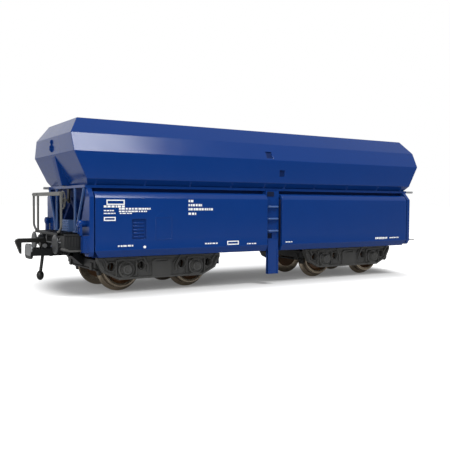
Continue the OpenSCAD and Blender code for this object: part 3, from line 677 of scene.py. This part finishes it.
# ---------------- buffers
# Each buffer is turned: a stepped sleeve on the beam, a plunger, and a round plate with a slightly
# crowned face and a worn rim.
buffer_grey = moulded("buffer_grey_metal", (0.05, 0.052, 0.055), 0.36, 0.15, 0.25, 0.2, metal=0.35)
ENDS = ((-1, "left"), (1, "right"))
beam, front = beam_high[0], buffer_high[0]
plate_r = (buffer_high[2] - buffer_low[2]) / 2
buffer = [
    (beam - 0.1, 0), (beam - 0.1, 1.9), (beam + 0.35, 1.9), (beam + 0.5, 1.65), (beam + 1.1, 1.6),
    (beam + 1.2, 1.3), (beam + 1.25, 0.95), (front - 0.75, 0.95), (front - 0.6, 1.3),
    (front - 0.5, plate_r - 0.15), (front - 0.35, plate_r), (front - 0.2, plate_r),
    (front - 0.05, plate_r - 0.2), (front - 0.02, 1.6), (front, 0.8), (front, 0),
]
for end, name in ENDS:
    heads = bmesh.new()
    for side in (-1, 1):
        turned(heads, flipped(buffer, end), (0, side * BUFFER_Y, buffer_z), 0, 48)
    finish_piece(heads, "turned_buffers_" + name, "wagon", buffer_grey,
                 stands_for=("buffers_" + name,))


# ---------------- end decks
# A platform of open grating at each end: thin bars along and across in a black angle frame.
deck_low, deck_high = cad_mm("end_decks")
deck_half, deck_base, deck_top = deck_high[1], deck_low[2], deck_high[2]
DECK_DEPTH = 6.6
DECK_EDGE = 0.5
LONG_BARS, CROSS_BARS = 26, 8
x_out, x_in = deck_high[0], deck_high[0] - DECK_DEPTH
grating = bmesh.new()
for end in (-1, 1):
    for x0, x1, y0, y1 in (
        (x_in, x_out, -deck_half, -deck_half + DECK_EDGE), (x_in, x_out, deck_half - DECK_EDGE, deck_half),
        (x_out - DECK_EDGE, x_out, -deck_half, deck_half), (x_in, x_in + DECK_EDGE, -deck_half, deck_half),
    ):
        block(grating, (end * x0, y0, deck_base), (end * x1, y1, deck_top))
    for i in range(1, LONG_BARS):
        y = -deck_half + DECK_EDGE + i * 2 * (deck_half - DECK_EDGE) / LONG_BARS
        block(grating, (end * (x_in + 0.1), y - 0.12, deck_base + 0.1),
              (end * (x_out - 0.1), y + 0.12, deck_top - 0.04))
    for i in range(1, CROSS_BARS):
        x = end * (x_in + i * (x_out - x_in) / CROSS_BARS)
        block(grating, (x - 0.1, -deck_half + 0.1, deck_base + 0.15),
              (x + 0.1, deck_half - 0.1, deck_top - 0.1))
finish_piece(grating, "deck_gratings", "wagon", frame_black, 0.03, ("end_decks",))


# ---------------- struts under the waist
# Two uprights and two diagonals hold the hopper's end over each platform. They are moulded in a
# lighter blue, with a small foot plate under each.
strut_low, strut_high = cad_mm("end_struts")
FOOT_Y = (8.0, 9.0)
FOOT_HALF, FOOT_T = 0.6, 0.25
dress("end_struts", rung_blue, 0.06)
feet = bmesh.new()
for end in (-1, 1):
    for side in (-1, 1):
        for y in FOOT_Y:
            block(feet, (end * (strut_high[0] - 0.9), side * y - FOOT_HALF, strut_low[2] - 0.02),
                  (end * (strut_high[0] + 0.2), side * y + FOOT_HALF, strut_low[2] + FOOT_T))
finish_piece(feet, "strut_feet", "wagon", rung_blue, 0.05)


# ---------------- railing
# Grey wire posts bent in at the foot, and a flat bar across their tops, at the platform end.
rail_low, rail_high = cad_mm("railing")
POST_R = 0.3
THIRD_POST_Y = 8.5
BAR_HALF_T, BAR_H, BAR_BOLT_DOWN = 0.33, 0.95, 0.48
rail_x = (rail_low[0] + rail_high[0]) / 2
rail_y = rail_high[1] - POST_R
rail_top = rail_high[2]
rail_dark = moulded("railing_dark_grey", (0.095, 0.095, 0.09), 0.4, 0.1, 0.3, 0.15)
railing = bmesh.new()
for side in (-1, 1):
    wire(railing, [(rail_x, side * (deck_half - 0.5), deck_top + POST_R),
                   (rail_x, side * (deck_half + 0.35), deck_top + POST_R),
                   (rail_x, side * rail_y, deck_top + 1.5), (rail_x, side * rail_y, rail_top - 0.3)],
         POST_R, 0.6, 16)
wire(railing, [(rail_x, THIRD_POST_Y, deck_top - 0.1), (rail_x, THIRD_POST_Y, rail_top - 0.4)], POST_R, 0, 16)
block(railing, (rail_x - BAR_HALF_T, -rail_y - POST_R, rail_top - BAR_H),
      (rail_x + BAR_HALF_T, rail_y + POST_R, rail_top))
for y in (-rail_y, THIRD_POST_Y, rail_y):
    hex_bolt(railing, (rail_x - BAR_HALF_T, y, rail_top - BAR_BOLT_DOWN), 0, -1, 0.22, 0.12)
finish_piece(railing, "platform_railing", "wagon", rail_dark, 0.05, ("railing",))


# ---------------- handwheel
# The brake wheel hangs under the waist rail and faces outward: a round rim, five flat spokes and a
# hub on a short shaft.
wheel_low, wheel_high = cad_mm("handwheel")
wheel_y = (wheel_low[1] + wheel_high[1]) / 2
wheel_r = (wheel_high[1] - wheel_low[1]) / 2
wheel_z = wheel_low[2] + wheel_r
wheel_x = wheel_low[0] + 0.4
RIM_R = 0.2
SPOKES = 5
SPOKE_R = 0.17
HANGER_HALF = 0.8
HANGER_T = 0.4
hub = [(-0.4, 0), (-0.4, 0.35), (-0.25, 0.6), (0.4, 0.6), (0.4, 0.35), (1.5, 0.35), (1.5, 0)]
handwheel = bmesh.new()
turned(handwheel, circle(wheel_x, wheel_r - RIM_R, RIM_R, 12), (0, wheel_y, wheel_z), 0, 48)
turned(handwheel, hub, (wheel_x, wheel_y, wheel_z), 0, 24)
for y, z in circle(wheel_y, wheel_z, wheel_r - RIM_R, SPOKES, 0.25):
    wire(handwheel, [(wheel_x - 0.1, wheel_y, wheel_z), (wheel_x, y, z)], SPOKE_R, 0, 8)
finish_piece(handwheel, "brake_handwheel", "wagon", rail_dark, stands_for=("handwheel",))
hanger = bmesh.new()
block(hanger, (wheel_high[0] - HANGER_T, wheel_y - HANGER_HALF, wheel_z - HANGER_HALF),
      (wheel_high[0], wheel_y + HANGER_HALF, wheel_high[2]))
finish_piece(hanger, "handwheel_hanger", "wagon", frame_black, 0.08)


# ---------------- cabinet on the platform
# A low blue-grey cabinet stands on the deck, its front made of five pressed ribs.
cabinet_low, cabinet_high = cad_mm("end_cabinet")
cabinet_blue = moulded("cabinet_blue_grey", (0.055, 0.11, 0.26), 0.42, 0.06, 0.3, 0.12)
cabinet = bmesh.new()
block(cabinet, (cabinet_low[0] + 0.25, cabinet_low[1], cabinet_low[2]), cabinet_high)
CABINET_RIBS = 5
pitch = (cabinet_high[2] - cabinet_low[2]) / CABINET_RIBS
for i in range(CABINET_RIBS):
    x, z = cabinet_low[0], cabinet_low[2] + i * pitch
    rib = [(x + 0.3, z + 0.08), (x, z + 0.2), (x, z + pitch * 0.55), (x + 0.3, z + pitch * 0.8)]
    cut_plate(cabinet, rib, 1, cabinet_low[1] + 0.15, cabinet_high[1] - 0.15)
finish_piece(cabinet, "ribbed_cabinet", "wagon", cabinet_blue, 0.05, ("end_cabinet",))


# ---------------- step box
# A dark box hangs beside the platform at its near corner. It is moulded with a flat cap, soft
# upright grooves and a paler lip that slants down along its foot.
step_low, step_high = cad_mm("step_box")
step_grey = moulded("step_box_grey", (0.0125, 0.013, 0.0135), 0.45, 0.15, 0.3, 0.2, shine=0.22)
step_lip = moulded("step_box_lip_grey", (0.06, 0.06, 0.058), 0.45, 0.1, 0.3, 0.2)
LIP_T = 0.45
CAP_T = 0.5
GROOVES = 5
(x0, y0, z0), (x1, y1, z1) = step_low, step_high
step = bmesh.new()
cut_plate(step, [(x0, z1), (x1, z1), (x1, z0 + LIP_T), (x0 + 1.4, z0 + LIP_T), (x0 + 0.1, z0 + 1),
                 (x0, z0 + 1.5)], 1, y0 + 0.2, y1)
block(step, (x0, y0, z1 - CAP_T), step_high)
for i in range(GROOVES):
    x = x0 + 0.5 + i * (x1 - x0 - 0.6) / GROOVES
    block(step, (x, y0 + 0.1, z0 + 1.1), (x + 0.35, y0 + 0.3, z1 - CAP_T - 0.1))
finish_piece(step, "corner_step_box", "wagon", step_grey, 0.08, ("step_box",))
lip = bmesh.new()
cut_plate(lip, [(x0 + 0.1, z0 + 1), (x0 + 1.4, z0 + LIP_T), (x1, z0 + LIP_T), (x1, z0), (x0 + 1.2, z0),
                (x0, z0 + 0.55)], 1, y0, y1)
finish_piece(lip, "step_box_lip", "wagon", step_lip, 0.05)


# ---------------- corner blocks and latch shafts
# The body's corners carry a ribbed blue block and the end of a latch shaft with a collar and a
# small lever under it.
shaft_low, shaft_high = cad_mm("latch_shafts")
cheek_low, cheek_high = cad_mm("end_cheeks")
SHAFT_Y = 16.2
shaft_z = (shaft_low[2] + shaft_high[2]) / 2
LONG_SHAFT, SHORT_SHAFT = 2.3, 1.3
cheek_x = shaft_high[0] - LONG_SHAFT
# the collar at the shaft's end, as (distance from the tip, radius)
COLLAR = ((-0.9, 0.8), (-0.9, 1.0), (-0.15, 1.0), (0, 0.85), (0, 0.5), (-0.2, 0.4), (-0.2, 0))
latches = bmesh.new()
for end in (-1, 1):
    for side in (-1, 1):
        # the long ends are the near left one and the far right one
        tip = end * (cheek_x + (LONG_SHAFT if end == side else SHORT_SHAFT))
        root = end * (cheek_x - 0.3)
        shaft = [(root, 0), (root, 0.8)] + [(tip + end * along, radius) for along, radius in COLLAR]
        turned(latches, shaft, (0, side * SHAFT_Y, shaft_z), 0, 32)
        for dy in (-0.9, 0.4):
            y = side * SHAFT_Y + dy
            block(latches, (tip - end * 0.9, y, shaft_z - 2.9), (tip - end * 0.3, y + 0.5, shaft_z - 0.4))
finish_piece(latches, "latch_shaft_ends", "wagon", body_blue, 0.04, ("latch_shafts",))

BLOCK_X = cheek_low[0]
BLOCK_LOW, BLOCK_TOP = 11.5, 15.3
BLOCK_Y, PITCH_Y, PITCH_X = 16.5, 0.6, 0.45
corner_ribs = bmesh.new()
for side in (-1, 1):
    for i in range(3):
        y = side * (BLOCK_Y + i * PITCH_Y)
        block(corner_ribs, (BLOCK_X - 0.08, y - 0.12, BLOCK_LOW), (BLOCK_X + 0.1, y + 0.12, BLOCK_TOP))
        x = BLOCK_X + 0.3 + i * PITCH_X
        block(corner_ribs, (x, side * (cheek_high[1] + 0.08), BLOCK_LOW),
              (x + 0.2, side * (cheek_high[1] - 0.1), BLOCK_TOP))
finish_piece(corner_ribs, "corner_block_ribs", "wagon", body_blue, 0.03)

dress("ledge_pegs", grey_paint_and_highlight, 0.05)


# ---------------- bogie side frames
# Cast side frames, moulded in grey-brown plastic: a thin web inside a raised edge, round
# lightening holes with rims, axle boxes held in horn guides, and slanting straps over the springs.
bogie_grey = moulded("bogie_grey_plastic", (0.056, 0.056, 0.054), 0.5, 0.22, 0.5, 0.35)
pivot_x = joints["bogie_right_swivel"]["pos_m"][0] / MM
axle_x = [joints[f"wheelset_{n}_turn"]["pos_m"][0] / MM for n in (1, 2, 3, 4)]
axle_z = joints["wheelset_1_turn"]["pos_m"][2] / MM
HALF_BASE = (axle_x[3] - axle_x[2]) / 2
frame_low, frame_high = cad_mm("bogie_right_side_frames")
frame_half = frame_high[0] - pivot_x
FRAME_IN, FRAME_OUT = 11.4, 13.2
WEB_OUT = 12.75
EDGE_W = 0.55
PLATE_SUNK = 0.1
HOLE_R = 1.1
# the hole's rim and the axle box's cover, as (out from the face, radius)
HOLE_RIM = ((-0.2, HOLE_R), (0.28, HOLE_R), (0.28, HOLE_R + 0.3), (-0.2, HOLE_R + 0.45))
BOX_COVER = ((0.2, 2.3), (0.3, 2.15), (0.3, 1.8), (0.15, 1.65), (0.15, 1.4), (1.1, 1.3), (1.2, 1.15),
             (1.2, 0.85), (1.05, 0.75), (1.05, 0))
BOX_SCREWS_R = 1.95
FOOT_BOLTS_X = (-7.8, -6.9, 6.9, 7.8)
SPRING_R, SPRING_HALF = 0.28, 1.3
# straps beside the panel and at the frame's end, as (from, to, width, proud), heights from the top
STRAPS = (
    ((5.6, -0.1), (4.2, -2.3), 0.55, 0.25), ((4.9, -0.1), (3.6, -2.1), 0.3, 0.05),
    ((4.2, -2.3), (4.2, -4.3), 0.4, 0.1), ((16.6, -0.1), (15.5, -1.9), 0.45, 0.2),
    ((17.5, -0.8), (16.4, -3.1), 0.3, 0.1),
)


def inset(outline, gap):
    """The outline moved in by gap, its corners kept sharp; points run round once"""
    moved = []
    count = len(outline)
    area = sum(outline[i][0] * outline[(i + 1) % count][1] - outline[(i + 1) % count][0] * outline[i][1]
               for i in range(count))
    turn = 1 if area > 0 else -1
    for i in range(count):
        before, corner, after = (Vector(outline[k % count]) for k in (i - 1, i, i + 1))
        first = (corner - before).normalized()
        second = (after - corner).normalized()
        normal_1 = Vector((-first.y, first.x)) * turn
        normal_2 = Vector((-second.y, second.x)) * turn
        mitre = (normal_1 + normal_2).normalized()
        moved.append(tuple(corner + mitre * gap / max(0.3, mitre.dot(normal_1))))
    return moved


def shifted(outline, along):
    """An outline moved along its first coordinate"""
    return [(along + u, v) for u, v in outline]


def bar(bm, start, stop, width, y0, y1, centre_x):
    """A flat bar between two points on the frame's face"""
    a, b = Vector(start), Vector(stop)
    across = (b - a).orthogonal().normalized() * width / 2
    cut_plate(bm, shifted([a - across, b - across, b + across, a + across], centre_x), 1, y0, y1)


top, low = frame_high[2], frame_low[2]
hole_z = axle_z + 0.8
half_edge = [(frame_half, top), (frame_half, top - 0.9), (frame_half - 0.4, low + 4.1),
             (frame_half - 1.6, low + 2.0), (frame_half - 5.8, low)]
edge = half_edge + flipped(reversed(half_edge), -1)
half_panel = [(2.9, low + 0.5), (2.9, top - 1.3), (1.9, top - 0.75)]
panel = half_panel + flipped(reversed(half_panel), -1)
panel_slot = rectangle(-1.7, top - 1.5, 1.7, top - 1.15)
for end, name in ENDS:
    centre = end * pivot_x
    holes_x = [s * x for s in (-1, 1) for x in (HALF_BASE + 4.1, HALF_BASE - 4.3)]
    frames = bmesh.new()
    for side in (-1, 1):
        y_in, y_web, y_out = side * FRAME_IN, side * WEB_OUT, side * FRAME_OUT
        root = y_web - side * PLATE_SUNK
        cut_plate(frames, shifted(edge, centre), 1, y_in, y_web,
                  [circle(centre + x, hole_z, HOLE_R, 24) for x in holes_x])
        cut_plate(frames, shifted(edge, centre), 1, root, y_out, [shifted(inset(edge, EDGE_W), centre)])
        for x in holes_x:
            rim = [(y_web + side * out, radius) for out, radius in HOLE_RIM]
            turned(frames, rim, (centre + x, 0, hole_z), 1, 28)
            # the spring pin seen through each hole but the one nearest the wagon's middle
            if x * end > -HALF_BASE:
                wire(frames, [(centre + x + 0.35, y_in - side * 0.3, hole_z + z)
                              for z in (-SPRING_HALF, SPRING_HALF)], SPRING_R, 0, 8)
        # raised middle panel with a slot under the top edge
        cut_plate(frames, shifted(panel, centre), 1, root, y_out - side * PLATE_SUNK,
                  [shifted(panel_slot, centre)])
        for s in (-1, 1):
            for (x0, z0), (x1, z1), width, proud in STRAPS:
                bar(frames, (s * x0, top + z0), (s * x1, top + z1), width, root, y_out + side * proud, centre)
            # horn guides and their cap over the axle box, and the seat under it
            x = centre + s * HALF_BASE
            for dx in (-3.0, 2.6):
                cut_plate(frames, rectangle(x + dx, low + 0.9, x + dx + 0.4, axle_z + 2.5), 1, root,
                          y_out + side * 0.15)
            for z, half_foot, half_top, height in ((axle_z + 2.15, 3.0, 2.4, 0.6), (low, 2.2, 1.8, 0.7)):
                cut_plate(frames, [(x - half_foot, z), (x + half_foot, z), (x + half_top, z + height),
                                   (x - half_top, z + height)], 1, root, y_out + side * 0.2)
            # round axle box: a flanged drum, a cover with a rim, and four cap screws
            box = [(y_in, 0), (y_in, 2.3)] + [(y_out + side * out, radius) for out, radius in BOX_COVER]
            turned(frames, box, (x, 0, axle_z), 1, 40)
            for u, v in circle(x, axle_z, BOX_SCREWS_R, 4, 0.5):
                hex_bolt(frames, (u, y_out + side * 0.3, v), 1, side, 0.2, 0.14)
        for x in FOOT_BOLTS_X:
            hex_bolt(frames, (centre + x, y_web, low + 1.0), 1, side, 0.22, 0.2)
    finish_piece(frames, "side_frames_" + name, "bogie_" + name, bogie_grey, 0.06,
                 ("bogie_" + name + "_side_frames",))


# ---------------- bolsters, end beams and brakes
# A plain bolster joins the side frames and turns on the king pin. The end beams carry hangers
# with brake blocks that stand clear of the wheels.
bogie_dark = moulded("bogie_dark_plastic", (0.011, 0.011, 0.0105), 0.5, 0.2, 0.5, 0.3)
TREAD_R = 5.25
SHOE_GAP, SHOE_T = 0.45, 0.7
SHOE_BACK = TREAD_R + SHOE_GAP
SHOE_Y = (7.9, 9.5)
SHOE_ANGLES = [math.radians(6 * i - 16) for i in range(7)]
for end, name in ENDS:
    centre = end * pivot_x
    dress("bogie_" + name + "_bolster", bogie_dark, 0.08)
    dress("bogie_" + name + "_end_beams", bogie_dark, 0.08)
    dress("coupling_" + name, frame_black, 0.05)
    brakes = bmesh.new()
    for s in (-1, 1):
        # a block lies along an arc of the tread, outboard of each wheel
        axle = s * HALF_BASE
        arc = [(centre + axle + s * radius * math.cos(a), axle_z + radius * math.sin(a))
               for radius, angles in ((SHOE_BACK, SHOE_ANGLES), (SHOE_BACK + SHOE_T, SHOE_ANGLES[::-1]))
               for a in angles]
        x = axle + s * (SHOE_BACK + 0.55)
        for side in (-1, 1):
            cut_plate(brakes, arc, 1, side * SHOE_Y[0], side * SHOE_Y[1])
            bar(brakes, (x, axle_z - 0.6), (x + s * 0.5, axle_z + 2.4), 0.5, side * 8.4, side * 9.0, centre)
            block(brakes, (centre + s * (frame_half - 0.1), side * 7.7, axle_z - 0.3),
                  (centre + s * (frame_half + 0.35), side * 9.4, axle_z + 1.7))
        x = centre + s * (HALF_BASE + SHOE_BACK + 1.1)
        wire(brakes, [(x, -9.4, axle_z - 0.3), (x, 9.4, axle_z - 0.3)], 0.3, 0, 10)
    finish_piece(brakes, "brake_blocks_" + name, "bogie_" + name, bogie_dark, 0.05)


# ---------------- wheelsets
# Turned steel tyres with a flange, browned discs that dish in towards the hub, and a plain steel
# axle with its ends in the axle boxes.
wheel_brown = moulded("wheel_brown_disc", (0.09, 0.043, 0.018), 0.45, 0.25, 0.4, 0.25, metal=0.2)
BACK_Y = 7.1
WHEEL_W = 2.8
FLANGE_H = 1.0
FLANGE_W = 0.8
DISC_R = 4.1
RING_SCALE, RING_DEPTH = 1100, 0.01


def turned_metal(name, colour, rough):
    """Lathe-turned metal: fine rings round the axle over an uneven, slightly dirty shine"""
    material = moulded(name, colour, rough, 0.18, 0.2, 0.2, metal=0.9)
    tree = material.node_tree
    shader = tree.nodes["Principled BSDF"]
    rings = added(tree, "TexWave", {
        "Vector": added(tree, "TexCoord", {}).outputs["Object"], "Scale": RING_SCALE, "Distortion": 0.6,
    }, wave_type="RINGS", rings_direction="Y")
    bump = added(tree, "Bump", {
        "Strength": 0.25, "Distance": RING_DEPTH * MM, "Height": rings.outputs["Fac"],
        "Normal": shader.inputs["Normal"].links[0].from_socket,
    })
    feed(shader, {"Normal": bump.outputs["Normal"]})
    return material


tyre_metal = turned_metal("tyre_turned_metal", (0.27, 0.225, 0.17), 0.22)

flange_r = TREAD_R + FLANGE_H
back, front = BACK_Y, BACK_Y + WHEEL_W
tyre = [
    (back, DISC_R), (back, flange_r - 0.35), (back + 0.12, flange_r - 0.08), (back + 0.3, flange_r),
    (back + 0.5, flange_r - 0.08), (back + FLANGE_W, TREAD_R + 0.3), (back + FLANGE_W + 0.25, TREAD_R + 0.05),
    (back + FLANGE_W + 0.5, TREAD_R), (front - 0.2, TREAD_R - 0.1), (front, TREAD_R - 0.3),
    (front, DISC_R + 0.25), (front - 0.15, DISC_R),
]
disc = [
    (back + 0.25, 0.95), (back + 0.25, DISC_R + 0.05), (front - 0.35, DISC_R + 0.05),
    (front - 0.5, DISC_R - 0.15), (front - 1.05, DISC_R - 0.6), (front - 1.15, 2.4), (front - 0.95, 1.9),
    (front - 0.15, 1.65), (front, 1.5), (front, 0.95),
]
for n, x in enumerate(axle_x, start=1):
    for part, profile, material, slot in (("tyres", tyre, tyre_metal, "axle_steel"),
                                          ("discs", disc, wheel_brown, "wheel_brown")):
        drawing = bmesh.new()
        for side in (-1, 1):
            turned(drawing, flipped(profile, side), (0, 0, 0), 1, 96)
        piece = finish_piece(drawing, f"wheel_{part}_{n}", f"wheelset_{n}", material)
        piece.matrix_world = Matrix.Translation((x * MM, 0, axle_z * MM))
        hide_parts(f"wheels_{n}")
    dress(f"axle_{n}", steel, 0.04)


# ---------------- couplings
# A black tongue on the bogie carries two ears and a sprung bow of bent strip, with an oval front
# plate. The hook lever turns between the ears and hangs a weighted dropper.
coupling_grey = moulded("coupling_grey_metal", (0.2, 0.205, 0.21), 0.38, 0.12, 0.25, 0.2, metal=0.45)
coupling_dark = moulded("coupling_dark_metal", (0.02, 0.02, 0.019), 0.36, 0.15, 0.25, 0.2, metal=0.5)
PLATE_Z = 11.2
OVAL_R = 1.6
ARM_IN = 0.4
ARM_R = 0.36
BOW_DEPTH = 5.0
HOOK_HALF = 0.68
BULB_H, BULB_R, BULB_STEPS = 2.6, 0.95, 14
# the pin through the ears, as (along, radius)
HOOK_PIN = ((-1.9, 0), (-1.9, 0.55), (-1.6, 0.6), (-1.5, 0.4), (1.5, 0.4), (1.6, 0.6), (1.9, 0.55), (1.9, 0))
for end, name in ENDS:
    coupling_low, coupling_high = cad_mm("coupling_" + name)
    bow = end * max(abs(coupling_low[0]), abs(coupling_high[0]))
    bow_half = coupling_high[1]
    front = bmesh.new()
    oval = []
    for u, v in circle(0, PLATE_Z, OVAL_R, 24):
        # the two round ends stand apart by the plate's straight part
        side = (u > 1e-6) - (u < -1e-6)
        oval.append((u + side * (bow_half - OVAL_R), v))
    cut_plate(front, oval, 0, bow, bow - end * 0.6)
    finish_piece(front, "coupling_plate_" + name, "bogie_" + name, coupling_grey, 0.1)
    bow_arms = bmesh.new()
    for side in (-1, 1):
        arm_y = side * (bow_half - ARM_IN)
        wire(bow_arms, [(bow - end * along, arm_y, PLATE_Z) for along in (ARM_IN, BOW_DEPTH)], ARM_R, 0, 12)
    block(bow_arms, (bow - end * 0.02, end * 1.7 - 0.45, PLATE_Z + 0.75),
          (bow - end * 0.3, end * 1.7 + 0.45, PLATE_Z + 1.65))
    finish_piece(bow_arms, "coupling_bow_" + name, "bogie_" + name, coupling_dark, 0.05)

    pin_x, _, pin_z = (v / MM for v in joints[f"hook_{name}_lift"]["pos_m"])
    hook_low, hook_high = cad_mm("hook_" + name)
    nose, arm, foot_z = max(abs(hook_low[0]), abs(hook_high[0])), hook_high[2], hook_low[2]
    pivot = abs(pin_x)
    hook = bmesh.new()
    outline = [
        (pivot - 0.75, pin_z - 0.45), (pivot - 0.75, arm - 0.5), (pivot - 0.3, arm), (nose - 0.9, arm),
        (nose - 0.3, arm - 0.25), (nose, arm - 0.75), (nose - 1.25, arm - 4.0), (nose - 1.6, arm - 4.0),
        (nose - 1.6, arm - 1.1), (pivot + 0.9, arm - 1.1), (pivot + 0.75, pin_z - 0.45),
    ]
    cut_plate(hook, flipped(outline, end), 1, -HOOK_HALF, HOOK_HALF)
    finish_piece(hook, "hook_lever_" + name, "hook_" + name, coupling_dark, 0.12,
                 ("hook_" + name,))
    dropper = bmesh.new()
    bulb_x = pin_x + end * 0.8
    wire(dropper, [(pin_x, 0, pin_z - 0.3), (pin_x + end * 0.1, 0, pin_z - 2.4), (bulb_x, 0, foot_z + 1.6)],
         0.42, 0.8, 12)
    angles = [math.pi * i / BULB_STEPS for i in range(BULB_STEPS + 1)]
    bulb = [(foot_z + BULB_H / 2 * (1 - math.cos(a)), BULB_R * math.sin(a)) for a in angles]
    turned(dropper, bulb, (bulb_x, 0, 0), 2, 28)
    finish_piece(dropper, "hook_dropper_" + name, "hook_" + name, coupling_dark)
    pin = bmesh.new()
    turned(pin, HOOK_PIN, (pin_x, 0, pin_z), 1, 20)
    finish_piece(pin, "hook_pin_" + name, "bogie_" + name, coupling_grey)


# ---------------- studio
# A white table under an even sky, with a soft lamp high at the front and a dimmer one at the left.
# To the camera and in reflections table and backdrop are white, and the table still takes a shadow; near the
# wagon's footprint the added white fades, which paints its shadow darker.
def worked(tree, kind, first, second):
    """What a kind of sum makes of two sockets or numbers"""
    return added(tree, "Math", {0: first, 1: second}, operation=kind).outputs[0]


def seen_white(tree, lit, amount, mirrored):
    """Adds light that only the camera sees, and reflections see by the share mirrored"""
    path = added(tree, "LightPath", {}).outputs
    bounced = worked(tree, "MAXIMUM", path["Is Glossy Ray"], path["Is Transmission Ray"])
    seen = worked(tree, "MAXIMUM", path["Is Camera Ray"], worked(tree, "MULTIPLY", bounced, mirrored))
    glow = added(tree, "Emission", {"Strength": worked(tree, "MULTIPLY", seen, amount)})
    return added(tree, "AddShader", {0: lit, 1: glow.outputs[0]}).outputs[0]


def ramp(tree, value, start, stop, low, high):
    """A smooth step of a value from low to high"""
    feeds = {"Value": value, "From Min": start, "From Max": stop, "To Min": low, "To Max": high}
    return added(tree, "MapRange", feeds, interpolation_type="SMOOTHSTEP").outputs["Result"]


table_white = bpy.data.materials.new("table_white")
table_white.use_nodes = True
tree = table_white.node_tree
tree.nodes.remove(tree.nodes["Principled BSDF"])
paper = added(tree, "BsdfDiffuse", {"Color": (0.6, 0.6, 0.6, 1)})
place = added(tree, "SeparateXYZ", {0: added(tree, "NewGeometry", {}).outputs["Position"]}).outputs
# painted shadow: the white the camera sees fades out from 36 mm to 14 mm of the wagon's footprint, darkening
# the table under and around it
past_end = place["X"]
for kind, number in (("ABSOLUTE", 0), ("SUBTRACT", 0.048), ("MAXIMUM", 0), ("MULTIPLY", 2)):
    past_end = worked(tree, kind, past_end, number)
offset = added(tree, "CombineXYZ", {"X": past_end, "Y": place["Y"]})
from_middle = added(tree, "VectorMath", {0: offset.outputs[0]}, operation="LENGTH").outputs["Value"]
white_past_painted_shadow = ramp(tree, from_middle, 0.014, 0.036, 0.12, 0.85)
feed(tree.nodes["Material Output"], {"Surface": seen_white(tree, paper.outputs[0], white_past_painted_shadow, 0.1)})

TABLE_HALF, TABLE_FRONT, TABLE_T = 4000, 240, 5
table = bmesh.new()
block(table, (-TABLE_HALF, -TABLE_FRONT, -TABLE_T), (TABLE_HALF, TABLE_HALF, 0))
table_top = drawn(table, "table", table_white)

SKY = 0.46
sky = bpy.data.worlds.new("studio_sky")
bpy.context.scene.world = sky
sky.use_nodes = True
tree = sky.node_tree
background = tree.nodes["Background"]
heading = added(tree, "SeparateXYZ", {0: added(tree, "TexCoord", {}).outputs["Generated"]}).outputs
# the room in front of the table is dim, and the sky overhead and behind is bright
lit_sky = ramp(tree, heading["Y"], -0.95, -0.5, 0.03, SKY)
feed(background, {"Color": (1, 1, 1, 1), "Strength": lit_sky})
rest = worked(tree, "SUBTRACT", 1, lit_sky)
mirrored = worked(tree, "MULTIPLY", ramp(tree, heading["Y"], -0.8, 0.0, 0.0, 1.0),
                  ramp(tree, heading["Z"], 0.4, 0.95, 1.0, 0.35))
feed(tree.nodes["World Output"], {"Surface": seen_white(tree, background.outputs[0], rest, mirrored)})


def soft_lamp(name, place, aim, size, power):
    """A square soft lamp at a place in millimetres, turned to its aim"""
    light = bpy.data.lights.new(name, "AREA")
    light.size = size * MM
    light.energy = power
    lamp = placed(name, light)
    lamp.location = Vector(place) * MM
    lamp.rotation_euler = (Vector(aim) - Vector(place)).to_track_quat("-Z", "Y").to_euler()


soft_lamp("front_softbox", (72, -262, 432), (-20, 0, 25), 150, 1.8)
soft_lamp("left_softbox", (-330, -300, 150), (-30, 0, 20), 260, 1.15)

camera_data = bpy.data.cameras.new("camera")
camera_data.sensor_width = 36
camera_data.lens = 50.05
camera = placed("camera", camera_data)
CAMERA_PLACE = Vector((-107.34, -165.97, 23.625)) * MM
YAW, PITCH, ROLL = (math.radians(v) for v in (31.443, -1.98, 0.32))
right = Vector((math.cos(YAW), -math.sin(YAW), 0))
forward = Vector((math.sin(YAW) * math.cos(PITCH), math.cos(YAW) * math.cos(PITCH), math.sin(PITCH)))
aim = Matrix((right, right.cross(forward), -forward)).transposed().to_4x4()
camera.matrix_world = Matrix.Translation(CAMERA_PLACE) @ aim @ Matrix.Rotation(ROLL, 4, "Z")
camera_data.clip_start = 0.005
camera_data.clip_end = 50
bpy.context.scene.camera = camera
bpy.context.scene.view_settings.view_transform = "Standard"
